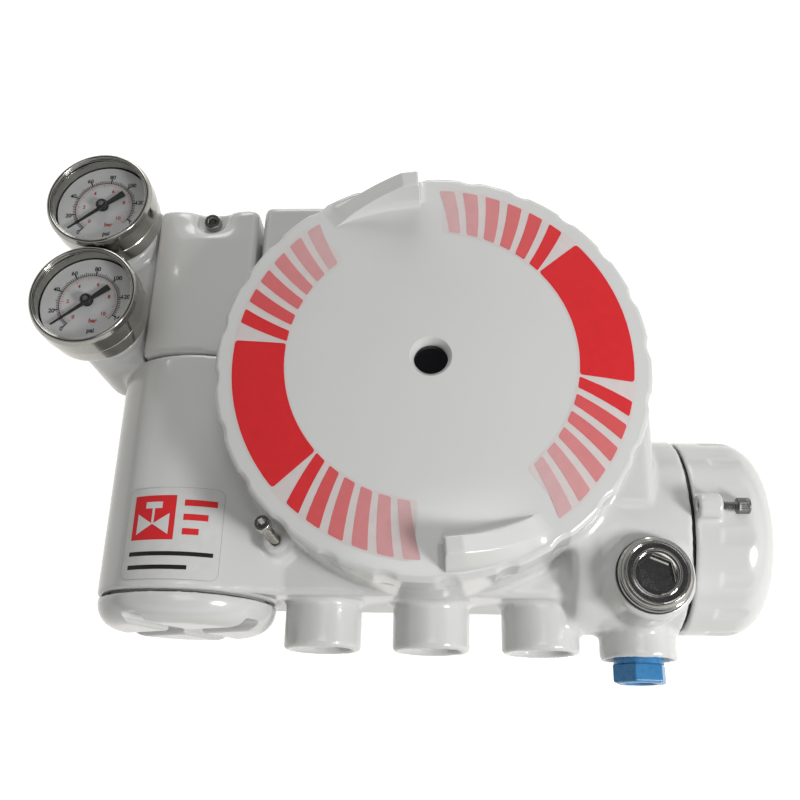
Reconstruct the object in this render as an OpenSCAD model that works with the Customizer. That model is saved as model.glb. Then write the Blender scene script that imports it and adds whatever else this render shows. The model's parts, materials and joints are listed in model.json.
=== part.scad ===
// Digital valve positioner: cast housing, screw covers, spool valve, feedback shaft and two gauges.
// Frame: origin on the feedback shaft's axis at the mounting face, +Z out of the main cover,
// +X towards the terminal cap, -Y towards the pneumatic ports.

/* [Main cover] */
// Outer diameter of the main cover
cover_d = 160; // [150:1:172]
// Height of the visible skirt of the main cover
cover_skirt_h = 16.7; // [14:0.1:20]
// Rise of the dome above the rim
cover_dome_h = 5; // [4:0.5:8]
// Thickness of the dome
cover_wall = 4.5; // [3.5:0.1:6]
// Length of the threaded neck
cover_neck_h = 9; // [6:0.5:10]
// Edge rounding of covers
rim_round = 2.5; // [1:0.1:4]
// Number of finger scallops round the rim
scallop_count = 24; // [12:1:30]
// Width of one scallop
scallop_w = 8; // [5:0.1:10]
// Depth of one scallop
scallop_depth = 0.9; // [0.5:0.1:1.4]
// Angle of the first scallop
scallop_angle = 4.5; // [0:0.5:15]
// Height of a grip lug at its steep end
grip_h = 13; // [8:0.5:14]
// Radial width of a grip lug at its root
grip_w = 9.8; // [8:0.1:11]
// Radial width of its top
grip_top_w = 6.8; // [4:0.1:8]
// Length of the flat at its steep end
grip_flat = 6.5; // [3:0.1:9]
// Arc that a grip lug covers, in degrees
grip_sweep = 30; // [20:1:40]
// Angle of the steep end of the first grip lug
grip_angle = 94; // [80:1:110]
// Clear diameter of the sight window
window_d = 12.5; // [9:0.5:16]

/* [Housing] */
// Height of the back of the casting above the mounting face
pad_h = 15; // [12:0.5:20]
// Height of the axis shared by the ports, the column and the terminal compartment
axis_h = 40; // [39.5:0.1:42]
// Height of the flat front of the casting
front_h = 60; // [58:0.5:62]
// Height of the top of the drum
drum_top = 83; // [82:0.5:88]
// Wall of the drum at the cover thread
drum_wall = 6; // [5:0.5:7]
// Thickness of the floor of the electronics pocket
floor_t = 9; // [7:0.5:11]
// Diameter of the left column
column_d = 70.6; // [68:0.2:73]
// Position of the seam between column and spool cover
spool_seam_y = 15; // [13:0.5:17]
// Far end of the spool cover
spool_end_y = 86; // [83:0.5:90]
// Width of the spool cover
spool_cover_w = 43; // [41:0.5:45]
// Wall of the spool cover
spool_wall = 3.2; // [2.5:0.1:3.6]
// Height of the corner block beside the spool cover
corner_h = 70; // [66:0.5:72]
// Spacing of the bracket bolts across the part
bolt_span_x = 57.2; // [54:0.1:62]
// Spacing of the bracket bolts along the part
bolt_span_y = 60.3; // [56:0.1:64]
// Drill diameter of the bracket bolt holes
bolt_hole_d = 5.1; // [4:0.1:6]

/* [Ports] */
// Spacing of the pneumatic ports
port_pitch = 42.4; // [38:0.1:44]
// Outer diameter of a port boss
port_d = 30; // [28:0.5:32]
// Length of a port boss below the casting
port_h = 18.5; // [16:0.5:22]
// Diameter of the counterbore at the mouth of a port
port_mouth_d = 23; // [20:0.5:24]
// Depth of that counterbore
port_mouth_h = 4; // [3:0.1:5]
// Wall diameter of the port thread
port_thread_d = 11.4; // [10:0.1:14]
// Length of the middle port thread
port_thread_h = 15; // [12:0.5:18]

/* [Terminal compartment] */
// Outer diameter of the terminal compartment
term_d = 76.8; // [76:0.1:78]
// Distance of its axis below the shaft axis
term_drop = 50; // [48:0.5:52]
// Depth of the compartment in the casting
term_depth = 30.7; // [29:0.1:33]
// Wall of the compartment
term_wall = 5.4; // [5.2:0.1:6]
// Length of the terminal cap
cap_h = 31; // [28:0.5:40]
// Edge rounding of the terminal cap
cap_round = 10; // [6:0.5:12]
// Wall of the terminal cap
cap_wall = 4; // [3:0.1:5]
// Number of grip flutes round the terminal cap
cap_flutes = 15; // [9:1:18]
// Width of one grip flute
cap_flute_w = 8; // [5:0.1:10]
// Depth of one grip flute
cap_flute_depth = 0.6; // [0.3:0.1:1]
// Outer diameter of a conduit boss
conduit_d = 31; // [29.5:0.1:32]
// Wall diameter of a conduit thread
conduit_thread_d = 20.8; // [19:0.1:21]

/* [Driver cover] */
// Length of the driver cover
driver_cover_h = 10.5; // [9:0.1:13]
// Edge rounding of the driver cover
driver_round = 5; // [3:0.1:5.2]
// Width of its tool slots
slot_w = 9; // [6:0.5:11]
// Depth of its tool slots
slot_depth = 3.5; // [2:0.1:4]

/* [Gauges] */
// Diameter of a gauge bezel
gauge_d = 43; // [41:0.1:43.2]
// Spacing of the two gauges
gauge_pitch = 43.4; // [43.2:0.1:46]
// Depth of a gauge
gauge_h = 20; // [18:0.5:24]
// Height of the gauge bosses
gauge_boss_h = 72; // [68:0.5:76]
// Place of the lower gauge along the column
gauge_y = 29; // [28:0.1:31]

/* [Shaft] */
// Diameter of the feedback shaft
shaft_d = 8; // [6:0.5:9]
// Free length of the shaft behind the mounting face
shaft_out = 22; // [16:0.5:30]
// Running clearance of shaft and spool on the radius
run_gap = 0.05; // [0.02:0.01:0.09]

/* [Hidden] */
$fn = 72;

paint = [0.86, 0.87, 0.86];
steel = [0.72, 0.72, 0.72];
black = [0.08, 0.08, 0.08];
green = [0.10, 0.35, 0.18];
blue = [0.13, 0.45, 0.85];

// Small overlap for cuts, clearance between moving pieces, and slip fit of fixed ones
eps = 0.1;
move_gap = 0.3;
slip = 0.05;
// Joint between the spool cover and the casting
cover_joint = 0.6;
// Gap that a compressed seal leaves between a cover and its seat, closer at the driver cover
seam = 1.3;
driver_seam = 0.6;

// Main cover levels and radii
cover_r = cover_d / 2;
drum_r = cover_r - 1;
bay_r = drum_r - drum_wall;
neck_r = bay_r - move_gap;
neck_wall = 4;
flange_z = drum_top + seam;
rim_z = flange_z + cover_skirt_h;
dome_z = rim_z + cover_dome_h;
dome_edge_r = cover_r - rim_round;
dome_r = (pow(dome_edge_r, 2) + pow(cover_dome_h, 2)) / (2 * cover_dome_h);
window_seat_z = dome_z - cover_wall;
window_t = 3;
window_seat_r = window_d / 2 + 2.8;
scallop_r = (pow(scallop_w / 2, 2) + pow(scallop_depth, 2)) / (2 * scallop_depth);
seal_r = 1.4;

// Electronics pocket under the thread
ledge_z = drum_top - 12;
pocket_r = bay_r - 13;
floor_z = pad_h + floor_t;
hub_r = 16;
hub_bottom_z = 4;
hub_bore_r = shaft_d / 2 + 2;
post_r = 4;
post_place_r = pocket_r - 10;
board_r = pocket_r - 2;
board_z = ledge_z - 9;
board_t = 1.6;
shroud_top_z = ledge_z + 9;
shroud_t = 2;
m3_r = 1.5;

// Left column
column_r = column_d / 2;
column_overlap = 17.3;
column_x = -(drum_r + column_r - column_overlap);
column_low_y = -drum_r;
body_low_y = -(drum_r - 1);
driver_bore_r = column_r - 7.5;
driver_neck_r = column_r - 3.8;
driver_neck_h = 8;
driver_depth = 35;
regulator_r = 15;
regulator_h = 32;
driver_floor_y = column_low_y + driver_depth;
regulator_floor_y = driver_floor_y + regulator_h;
driver_seal_r = 1;

// Spool cover and what it hides
spool_x0 = column_x - 22;
spool_x1 = spool_x0 + spool_cover_w;
spool_screw_x = column_x + 1;
spool_screw_y = spool_end_y - 6;
spool_screw_r = 2;
spool_post_r = 4.5;
spool_scoop_r = 6.5;
spool_scoop_z = axis_h + column_r - 8.5;
spool_ear_z = spool_scoop_z - 6;
spool_top_h = column_r - 0.3;
crown_r = 48;
spool_edge = 7;
spool_roll = 9;
spool_room = spool_wall + 1.3;
gasket_t = 1;
spool_block_w = spool_cover_w - 2 * spool_room;
spool_block_h = column_r / 2;
spool_block_y0 = spool_seam_y + 8;
spool_block_y1 = spool_screw_y - 8;
spool_block_x0 = spool_x0 + spool_room;
spool_z = axis_h + gasket_t + spool_block_h / 2;
spool_r = 5;
spool_line_x = spool_block_x0 + spool_block_w / 2 - 4;

// Corner block between spool cover and drum
corner_x0 = spool_x1 + 2;
corner_x1 = -18;
corner_y = spool_end_y + 1;

// Terminal compartment
term_r = term_d / 2;
term_bore_r = term_r - term_wall;
term_floor_x = pocket_r + 4;
term_seam_x = term_floor_x + term_depth;
cap_x = term_seam_x + seam;
cap_neck_r = term_bore_r - move_gap;
cap_neck_h = 9;
cap_r = term_r - 0.4;
cap_seal_r = 0.9;
cap_screw_line_r = cap_r + 3.4;
cap_lug_y = -term_drop + 2.3;
cap_screw_z = axis_h + cap_screw_line_r;
cap_lug_r = 4.4;
cap_lug_l = 8.3;
cap_flute_r = (pow(cap_flute_w / 2, 2) + pow(cap_flute_depth, 2)) / (2 * cap_flute_depth);
cap_plain_h = 9;
conduit_x = term_floor_x + 15.4;
conduit_low_y = body_low_y - port_h - 1.5;
conduit_up_off = 22.5;
conduit_up_y = -(term_drop + conduit_up_off);
conduit_up_z = axis_h + cap_r;
conduit_low_depth = 28;
conduit_r = conduit_d / 2;
conduit_low_r = conduit_r - 1;
conduit_mouth_r = 12.3;
conduit_mouth_h = 2.5;
conduit_up_r = conduit_r - 0.3;
plug_r = conduit_up_r - 1.9;
plug_h = 6.5;
plug_thread_h = 6.5;
conduit_seal_t = 1.2;
plug_socket_r = 7.4;
plug_socket_h = 5;
conduit_thread_r = conduit_thread_d / 2;

// Ports: each thread is drilled a little deeper than the one on its left
port_end_y = body_low_y - port_h;
port_r = port_d / 2;
port_drill_step = 0.5;

// Shoulder between drum and terminal compartment, and the web between drum and column
shoulder_x = cover_r + 3;
shoulder_y0 = -term_drop + 4;
shoulder_y1 = -8;
shoulder_z = drum_top - 3.5;
web_angle = 24;
web_r = column_r - 0.4;
web_x = column_x + web_r * sin(web_angle);
web_z = axis_h + web_r * cos(web_angle);
web_end_x = web_x + (web_z - front_h) / tan(web_angle);

// Lock screw of the main cover
lock_angle = 225.6;
lock_line_r = cover_r + 3.4;
lock_boss_r = 5;
lock_boss_z = drum_top - 12;
lock_head_z = drum_top + 9.5;
lock_r = 2;
lock_head_r = 2.9;

// Gauges
gauge_reach = 37.8;
gauge_x = column_x - gauge_reach;
gauge_r = gauge_d / 2;
gauge_z = gauge_boss_h + 8;
gauge_front_z = gauge_z + gauge_h;
case_r = gauge_r - 0.9;
case_t = 1;
gauge_boss_r = 15;
socket_r = 6;
ear_z0 = axis_h - 12;
ear_z1 = axis_h + 27;

// Shaft and sensor
shaft_r = shaft_d / 2;
bushing_l = 8;
bushing_flange_t = 1.5;
clip_t = 1;
clip_z = floor_z + bushing_flange_t + move_gap;
bracket_t = 2.5;
bracket_z = floor_z + 12;
sensor_z = bracket_z + bracket_t;
sensor_h = 9;
sensor_r = 15;
sensor_hole_r = shaft_r - 1;

// Shared shapes

// Cylinder along +X or +Y from the origin
module rod_x(r, l) rotate([0, 90, 0]) cylinder(r = r, h = l);
module rod_y(r, l) rotate([-90, 0, 0]) cylinder(r = r, h = l);

// Half section of a disc whose upper outer edge is rounded
module rounded_half(r, h, e) {
  square([r, h - e]);
  square([r - e, h]);
  translate([r - e, h - e]) circle(e);
}

// Disc with a rounded upper edge
module rounded_disc(r, h, e) rotate_extrude() rounded_half(r, h, e);

// Flat ring
module ring(r_out, r_in, h) difference() {
  cylinder(r = r_out, h = h);
  translate([0, 0, -eps]) cylinder(r = r_in, h = h + 2 * eps);
}

// Rectangle with round corners, centred
module round_rect(w, l, r) {
  square([w - 2 * r, l], center = true);
  square([w, l - 2 * r], center = true);
  for (sx = [-1, 1], sy = [-1, 1]) translate([sx * (w / 2 - r), sy * (l / 2 - r)]) circle(r);
}

// Round seal
module seal(r_line, r_wire) rotate_extrude() translate([r_line, 0]) circle(r_wire);

// Socket head cap screw: the underside of the head is at the origin, the shank points down
module cap_screw(r, l, head_r, head_h) difference() {
  union() {
    translate([0, 0, -l]) cylinder(r = r, h = l + eps);
    cylinder(r = head_r, h = head_h);
  }
  translate([0, 0, head_h / 2]) cylinder(r = head_r * 0.55, h = head_h, $fn = 6);
}

// Places of repeated features
module at_ports() for (i = [-1, 0, 1]) translate([i * port_pitch, port_end_y, axis_h]) children();
module at_bolts() for (sx = [-1, 1], sy = [-1, 1])
  translate([sx * bolt_span_x / 2, sy * bolt_span_y / 2, 0]) children();
module at_posts() for (a = [45:90:315]) rotate([0, 0, a]) translate([post_place_r, 0, 0]) children();
module at_gauge(i) translate([gauge_x, gauge_y + i * gauge_pitch, 0]) children();
module at_spool_bolts() for (sx = [0, 1], sy = [0, 1]) translate([
  spool_block_x0 + 4 + sx * (spool_block_w - 8),
  spool_block_y0 + 4 + sy * (spool_block_y1 - spool_block_y0 - 8), 0
]) children();
module at_term() translate([term_seam_x, -term_drop, axis_h]) rotate([0, 90, 0]) children();
module at_driver() translate([column_x, column_low_y, axis_h]) rotate([90, 0, 0]) children();
module at_lock() rotate([0, 0, lock_angle]) translate([lock_line_r, 0, 0]) children();

// Housing

module column_form() {
  translate([column_x, column_low_y, axis_h]) rod_y(column_r, spool_seam_y - column_low_y);
  // Half round bed that carries the spool block
  difference() {
    translate([column_x, 0, axis_h]) rod_y(column_r, spool_end_y);
    translate([column_x - 2 * column_r, spool_seam_y, axis_h])
      cube([4 * column_r, spool_end_y, 2 * column_r]);
  }
}

module gauge_ear() difference() {
  union() {
    for (i = [0, 1]) at_gauge(i)
      translate([0, 0, ear_z0]) cylinder(r = gauge_boss_r, h = gauge_boss_h - ear_z0);
    translate([gauge_x, gauge_y - gauge_boss_r, ear_z0])
      cube([spool_x0 - gauge_x, gauge_pitch + 2 * gauge_boss_r, ear_z1 - ear_z0]);
    translate([gauge_x - gauge_boss_r, gauge_y, ear_z0])
      cube([gauge_boss_r, gauge_pitch, ear_z1 - ear_z0]);
  }
  // Room for the spool cover's side
  translate([spool_x0 - cover_joint, spool_seam_y, axis_h])
    cube([spool_cover_w, 2 * spool_end_y, gauge_boss_h]);
}

module housing_outer() {
  translate([0, 0, pad_h]) cylinder(r = drum_r, h = drum_top - pad_h);
  column_form();
  gauge_ear();
  // Slab that joins column, drum and terminal compartment
  translate([column_x, body_low_y, pad_h])
    cube([term_seam_x - 9 - column_x, 20 - term_drop - body_low_y, front_h - pad_h]);
  translate([column_x, body_low_y, pad_h])
    cube([-column_x, spool_seam_y - body_low_y, front_h - pad_h]);
  // Web that leaves the column nearly level with its top
  translate([0, spool_seam_y, 0]) rotate([90, 0, 0]) linear_extrude(spool_seam_y - body_low_y) polygon([
    [column_x, axis_h], [web_x, web_z], [web_end_x, front_h], [web_end_x, axis_h]
  ]);
  // Shoulder beside the terminal compartment
  translate([shoulder_x / 2, shoulder_y1, (pad_h + shoulder_z) / 2]) rotate([90, 0, 0])
    linear_extrude(shoulder_y1 - shoulder_y0) round_rect(shoulder_x, shoulder_z - pad_h, 5);
  // Corner block, rounded along its top
  translate([(corner_x0 + corner_x1) / 2, corner_y, (pad_h + corner_h) / 2]) rotate([90, 0, 0])
    linear_extrude(corner_y) round_rect(corner_x1 - corner_x0, corner_h - pad_h, 5);
  translate([pocket_r - 8, -term_drop, axis_h]) rod_x(term_r, term_seam_x - pocket_r + 8);
  at_ports() rod_y(port_r, port_h + 10);
  translate([conduit_x, conduit_low_y, axis_h]) rod_y(conduit_low_r, port_h + 10);
  translate([conduit_x, conduit_up_y, axis_h]) cylinder(r = conduit_up_r, h = conduit_up_z - axis_h);
  at_bolts() cylinder(r = bolt_hole_d / 2 + 6, h = pad_h + eps);
  translate([0, 0, hub_bottom_z]) cylinder(r = hub_r, h = pad_h - hub_bottom_z + eps);
  at_lock() translate([0, 0, pad_h]) cylinder(r = lock_boss_r, h = lock_boss_z - pad_h);
}

module housing_hollows() {
  translate([0, 0, ledge_z]) cylinder(r = bay_r, h = drum_top - ledge_z + eps);
  translate([0, 0, floor_z]) cylinder(r = pocket_r, h = ledge_z - floor_z + eps);
  translate([0, 0, hub_bottom_z - eps]) cylinder(r = hub_bore_r, h = floor_z - hub_bottom_z + 2 * eps);
  // Driver bore with its thread, then the regulator's bore
  translate([column_x, column_low_y - eps, axis_h]) rod_y(driver_neck_r, driver_neck_h + 1 + eps);
  translate([column_x, column_low_y, axis_h]) rod_y(driver_bore_r, driver_depth);
  translate([column_x, driver_floor_y - eps, axis_h]) rod_y(regulator_r, regulator_h + eps);
  // Terminal compartment and the passage for its leads
  translate([term_floor_x, -term_drop, axis_h]) rod_x(term_bore_r, term_depth + eps);
  translate([pocket_r / 2, -term_drop * 0.7, axis_h]) rod_x(5, term_floor_x - pocket_r / 2 + eps);
  translate([conduit_x, conduit_low_y - eps, axis_h]) {
    rod_y(conduit_thread_r, conduit_low_depth);
    rod_y(conduit_mouth_r, conduit_mouth_h + eps);
  }
  translate([conduit_x, conduit_up_y, axis_h])
    cylinder(r = conduit_thread_r, h = conduit_up_z - axis_h + eps);
  at_ports() translate([0, -eps, 0]) rod_y(port_mouth_d / 2, port_mouth_h + eps);
  for (i = [-1, 0, 1]) translate([i * port_pitch, port_end_y, axis_h])
    rod_y(port_thread_d / 2, port_mouth_h + port_thread_h + i * port_drill_step);
  // Room in front of the compartment's mouth
  at_term() cylinder(r = term_r + 1, h = cap_h);
  at_bolts() translate([0, 0, -eps]) cylinder(r = bolt_hole_d / 2, h = 12 + eps);
  at_lock() translate([0, 0, pad_h + 10]) cylinder(r = lock_r + run_gap, h = lock_boss_z);
  at_spool_bolts() translate([0, 0, axis_h - 10]) cylinder(r = m3_r + slip, h = 10 + eps);
  for (i = [0, 1]) at_gauge(i)
    translate([0, 0, ear_z0 + 16]) cylinder(r = socket_r + slip, h = gauge_boss_h);
}

module housing() color(paint) {
  difference() {
    housing_outer();
    housing_hollows();
  }
  // Posts that carry the main board, and the one for the spool cover's screw
  at_posts() difference() {
    translate([0, 0, floor_z - eps]) cylinder(r = post_r, h = board_z - floor_z + eps);
    translate([0, 0, board_z - 8]) cylinder(r = m3_r + slip, h = 8 + eps);
  }
  translate([spool_screw_x, spool_screw_y, 0]) difference() {
    translate([0, 0, axis_h - eps]) cylinder(r = spool_post_r, h = spool_ear_z - axis_h + eps);
    translate([0, 0, spool_ear_z - 12]) cylinder(r = spool_screw_r + slip, h = 12 + eps);
    translate([-spool_post_r, spool_end_y - spool_wall - cover_joint - spool_screw_y, axis_h])
      cube([2 * spool_post_r, spool_post_r, column_r]);
  }
}

// Main cover

module grip_lug() {
  out_r = dome_edge_r - 0.5;
  in_r = out_r - grip_w;
  chord = 2 * (in_r + grip_w / 2) * sin(grip_sweep / 2);
  root_z = rim_z - rim_round;
  top_z = rim_z + grip_h;
  intersection() {
    difference() {
      union() {
        translate([0, 0, root_z]) cylinder(r = out_r, h = rim_round);
        translate([0, 0, rim_z]) cylinder(r1 = out_r, r2 = in_r + grip_top_w, h = grip_h);
      }
      translate([0, 0, root_z - eps]) cylinder(r = in_r, h = grip_h + rim_round + 2 * eps);
    }
    rotate([0, 0, grip_angle + grip_sweep / 2]) translate([in_r / 2, 0, 0]) rotate([90, 0, 90])
      linear_extrude(cover_r) polygon([
        [-chord / 2, root_z], [-chord / 2, top_z + eps],
        [-chord / 2 + grip_flat, top_z + eps], [chord / 2, root_z]
      ]);
  }
}

module main_cover() color(paint) difference() {
  union() {
    difference() {
      union() {
        translate([0, 0, flange_z]) rounded_disc(cover_r, cover_skirt_h, rim_round);
        intersection() {
          translate([0, 0, flange_z]) cylinder(r = dome_edge_r, h = dome_z - flange_z);
          translate([0, 0, dome_z - dome_r]) sphere(dome_r, $fn = 180);
        }
        translate([0, 0, flange_z - cover_neck_h]) cylinder(r = neck_r, h = cover_neck_h + eps);
      }
      intersection() {
        translate([0, 0, flange_z - cover_neck_h - eps]) cylinder(r = neck_r - neck_wall, h = dome_z);
        translate([0, 0, dome_z - dome_r]) sphere(dome_r - cover_wall, $fn = 180);
      }
      for (i = [0:scallop_count - 1]) rotate([0, 0, scallop_angle + i * 360 / scallop_count])
        translate([cover_r + scallop_r - scallop_depth, 0, flange_z - eps])
          cylinder(r = scallop_r, h = dome_z);
    }
    for (a = [0, 180]) rotate([0, 0, a]) grip_lug();
    translate([0, 0, window_seat_z - 2 * window_t - 1])
      cylinder(r = window_seat_r + 3, h = 2 * window_t + 1.5);
  }
  translate([0, 0, window_seat_z - 3 * window_t]) cylinder(r = window_seat_r + slip, h = 3 * window_t);
  translate([0, 0, window_seat_z - eps]) cylinder(r = window_d / 2, h = cover_wall + 2 * eps);
  translate([0, 0, dome_z - 2]) cylinder(r1 = window_d / 2, r2 = window_d / 2 + 1.5, h = 2.1);
  // Groove of the seal
  translate([0, 0, flange_z - eps]) ring(
    neck_r + 0.9 + 2 * seal_r + move_gap, neck_r + 0.9 - move_gap,
    2 * seal_r - seam + 2 * move_gap + eps
  );
}

module cover_window() color([0.10, 0.11, 0.12, 0.6])
  translate([0, 0, window_seat_z - window_t]) cylinder(r = window_seat_r, h = window_t);

module window_ring() color(steel)
  translate([0, 0, window_seat_z - 2 * window_t]) ring(window_seat_r, window_d / 2, window_t);

module cover_seal() color(black)
  translate([0, 0, drum_top + move_gap + seal_r]) seal(neck_r + 0.9 + seal_r, seal_r);

module cover_lock_screw() color(steel) at_lock()
  translate([0, 0, lock_head_z]) cap_screw(lock_r, lock_head_z - lock_boss_z + 8, lock_head_r, 4.5);

// Terminal compartment, drawn along the compartment's own axis

module terminal_cap() color(paint) difference() {
  union() {
    at_term() difference() {
      union() {
        translate([0, 0, seam]) rounded_disc(cap_r, cap_h, cap_round);
        translate([0, 0, -cap_neck_h]) cylinder(r = cap_neck_r, h = cap_neck_h + seam + eps);
      }
      translate([0, 0, -cap_neck_h - eps])
        cylinder(r = cap_neck_r - neck_wall, h = cap_neck_h + seam + cap_h - cap_wall + eps);
      for (i = [0:cap_flutes - 1]) rotate([0, 0, i * 360 / cap_flutes])
        translate([cap_r + cap_flute_r - cap_flute_depth, 0, seam + cap_plain_h])
          cylinder(r = cap_flute_r, h = cap_h);
    }
    // Lug that holds the lock screw
    translate([cap_x, cap_lug_y, cap_screw_z]) rod_x(cap_lug_r, cap_lug_l);
    translate([cap_x, cap_lug_y - cap_lug_r, axis_h + cap_neck_r])
      cube([cap_lug_l, 2 * cap_lug_r, cap_screw_line_r - cap_neck_r]);
  }
  translate([cap_x - eps, cap_lug_y, cap_screw_z]) rod_x(m3_r + run_gap, cap_lug_l + 2 * eps);
  at_term() translate([0, 0, seam - eps]) ring(
    cap_neck_r + 0.6 + 2 * cap_seal_r + move_gap, cap_neck_r + 0.6 - move_gap,
    2 * cap_seal_r - seam + 2 * move_gap + eps
  );
}

module cap_seal() color(black) at_term()
  translate([0, 0, move_gap + cap_seal_r]) seal(cap_neck_r + 0.6 + cap_seal_r, cap_seal_r);

module cap_lock_screw() color(steel) translate([cap_x + cap_lug_l + 5.5, cap_lug_y, cap_screw_z])
  rotate([0, 90, 0]) cap_screw(m3_r, cap_lug_l + 5.2, 2.9, 4.5);

module terminal_board() color(green) translate([term_floor_x + 2, -term_drop, axis_h]) {
  rod_x(term_bore_r - 2, board_t);
  // Spacers to the compartment floor
  for (s = [-1, 1]) translate([-2, 0, s * (term_bore_r - 6)]) rod_x(3, 2 + eps);
}

block_x = term_floor_x + 2 + board_t;
block_l = 36;
block_ways = 6;
module at_ways() for (i = [0:block_ways - 1])
  translate([block_x, -term_drop + (i - (block_ways - 1) / 2) * block_l / block_ways, axis_h])
    children();

module terminal_block() color([0.15, 0.35, 0.2]) difference() {
  translate([block_x, -term_drop - block_l / 2, axis_h - 6]) cube([12, block_l, 12]);
  at_ways() {
    translate([4, 0, 1]) rod_x(1.9 + slip, 20);
    translate([5, 0, -10]) cylinder(r = 1.6, h = 8);
  }
}

module terminal_screws() color(steel) at_ways() translate([4, 0, 1]) difference() {
  rod_x(1.9, 6.5);
  translate([5.5, -0.4, -3]) cube([2, 0.8, 6]);
}

ground_off = 18;
ground_washer_r = 4;
ground_washer_t = 1;
ground_head_r = 3;
ground_head_h = 4;
module ground_screw() color(steel) translate([block_x, -term_drop, axis_h + ground_off]) {
  rod_x(ground_washer_r, ground_washer_t);
  rod_x(ground_head_r, ground_head_h);
}

// Conduit entries

module conduit_plug() color(steel) translate([conduit_x, conduit_up_y, conduit_up_z]) difference() {
  union() {
    translate([0, 0, -plug_thread_h]) cylinder(r = conduit_thread_r - slip, h = plug_thread_h + 2);
    translate([0, 0, conduit_seal_t]) rounded_disc(plug_r, 2.2, 0.6);
    translate([0, 0, conduit_seal_t]) rounded_disc(plug_r - 1, plug_h - conduit_seal_t, 1.5);
  }
  translate([0, 0, plug_h - plug_socket_h]) cylinder(r = plug_socket_r, h = plug_h, $fn = 6);
}

module conduit_seal() color(black) translate([conduit_x, conduit_up_y, conduit_up_z])
  ring(plug_r + 0.3, conduit_thread_r + slip, conduit_seal_t);

ship_hex_r = 10.5;
ship_turn = 48.6;
ship_collar_r = 9.4;
ship_collar = 1.5;
ship_h = 8.5;
ship_thread_h = 10;
module at_ship() translate([conduit_x, conduit_low_y, axis_h]) rotate([90, 0, 0]) children();
module shipping_plug() color(blue) at_ship() difference() {
  union() {
    translate([0, 0, -ship_thread_h])
      cylinder(r = conduit_thread_r - slip, h = ship_thread_h - conduit_mouth_h);
    translate([0, 0, -ship_thread_h]) cylinder(r = ship_collar_r, h = ship_thread_h + ship_collar + eps);
    translate([0, 0, ship_collar]) rotate([0, 0, ship_turn])
      cylinder(r = ship_hex_r, h = ship_h - ship_collar, $fn = 6);
  }
  translate([0, 0, -ship_thread_h - eps]) cylinder(r = conduit_thread_r - 2.5, h = ship_thread_h - 1);
  translate([0, 0, ship_h / 2]) cylinder(r = ship_hex_r - 4.5, h = ship_h);
}

// Driver cover, module and regulator, drawn along the column's axis

module driver_cover() color(paint) at_driver() difference() {
  union() {
    translate([0, 0, driver_seam]) rounded_disc(column_r - 0.5, driver_cover_h, driver_round);
    translate([0, 0, -driver_neck_h])
      cylinder(r = driver_neck_r - move_gap, h = driver_neck_h + driver_seam + eps);
  }
  translate([0, 0, -driver_neck_h - eps])
    cylinder(r = driver_bore_r + 0.5, h = driver_neck_h + driver_seam + driver_cover_h - 7.5);
  for (a = [25, 115]) rotate([0, 0, a])
    translate([-column_r, -slot_w / 2, driver_seam + driver_cover_h - slot_depth])
      cube([2 * column_r, slot_w, 20]);
  translate([0, 0, driver_seam - eps]) ring(
    driver_neck_r + 2 * driver_seal_r + move_gap, driver_neck_r - move_gap,
    2 * driver_seal_r - driver_seam + 2 * move_gap + eps
  );
}

module driver_seal() color(black) at_driver()
  translate([0, 0, move_gap + driver_seal_r]) seal(driver_neck_r + driver_seal_r, driver_seal_r);

module driver_module() color([0.25, 0.25, 0.27]) at_driver() {
  translate([0, 0, -driver_depth]) cylinder(r = driver_bore_r - move_gap, h = driver_depth - 12);
  translate([0, 0, -13]) cylinder(r = driver_bore_r - 8, h = 9);
}

module pressure_regulator() color([0.7, 0.6, 0.3]) translate([column_x, driver_floor_y + 1, axis_h]) {
  rod_y(regulator_r - move_gap, regulator_h - 9);
  rod_y(regulator_r - 5, regulator_h - 1);
}

// Spool valve

// Crowned box with round upper edges and a rolled far end
module spool_form(inset, y0, low_z) intersection() {
  translate([column_x, y0, axis_h + spool_top_h - crown_r])
    rod_y(crown_r - inset, spool_end_y - inset - y0);
  translate([(spool_x0 + spool_x1) / 2, spool_end_y - inset, axis_h]) rotate([90, 0, 0])
    linear_extrude(spool_end_y - inset - y0)
      round_rect(spool_cover_w - 2 * inset, 2 * (spool_top_h - inset), spool_edge - inset);
  translate([spool_x0, (spool_end_y - inset) / 2, axis_h]) rotate([90, 0, 90])
    linear_extrude(spool_cover_w)
      round_rect(spool_end_y - inset, 2 * (spool_top_h - inset), spool_roll - inset);
  translate([spool_x0, y0, low_z]) cube([spool_cover_w, spool_end_y, 2 * column_r]);
}

module spool_cover() color(paint) difference() {
  union() {
    difference() {
      spool_form(0, spool_seam_y + cover_joint, axis_h);
      spool_form(spool_wall, spool_seam_y + cover_joint + spool_wall, axis_h - eps);
    }
    intersection() {
      spool_form(0, spool_seam_y + cover_joint, spool_ear_z);
      translate([spool_screw_x, spool_screw_y, spool_ear_z])
        cylinder(r = spool_scoop_r + 2.5, h = column_r);
    }
  }
  translate([0, 0, axis_h - eps]) cylinder(r = drum_r + cover_joint, h = drum_top);
  // Scoop open to the far end, round the screw head
  translate([spool_screw_x, spool_screw_y, spool_scoop_z]) {
    cylinder(r = spool_scoop_r, h = column_r);
    translate([-spool_scoop_r, 0, 0]) cube([2 * spool_scoop_r, 20, column_r]);
  }
  translate([spool_screw_x, spool_screw_y, axis_h]) cylinder(r = spool_screw_r + slip, h = column_r);
}

module spool_cover_screw() color(steel) translate([spool_screw_x, spool_screw_y, spool_scoop_z])
  cap_screw(spool_screw_r, 14, 3.6, 3.5);

module spool_bed(h) translate([spool_block_x0, spool_block_y0, 0])
  cube([spool_block_w, spool_block_y1 - spool_block_y0, h]);

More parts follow.
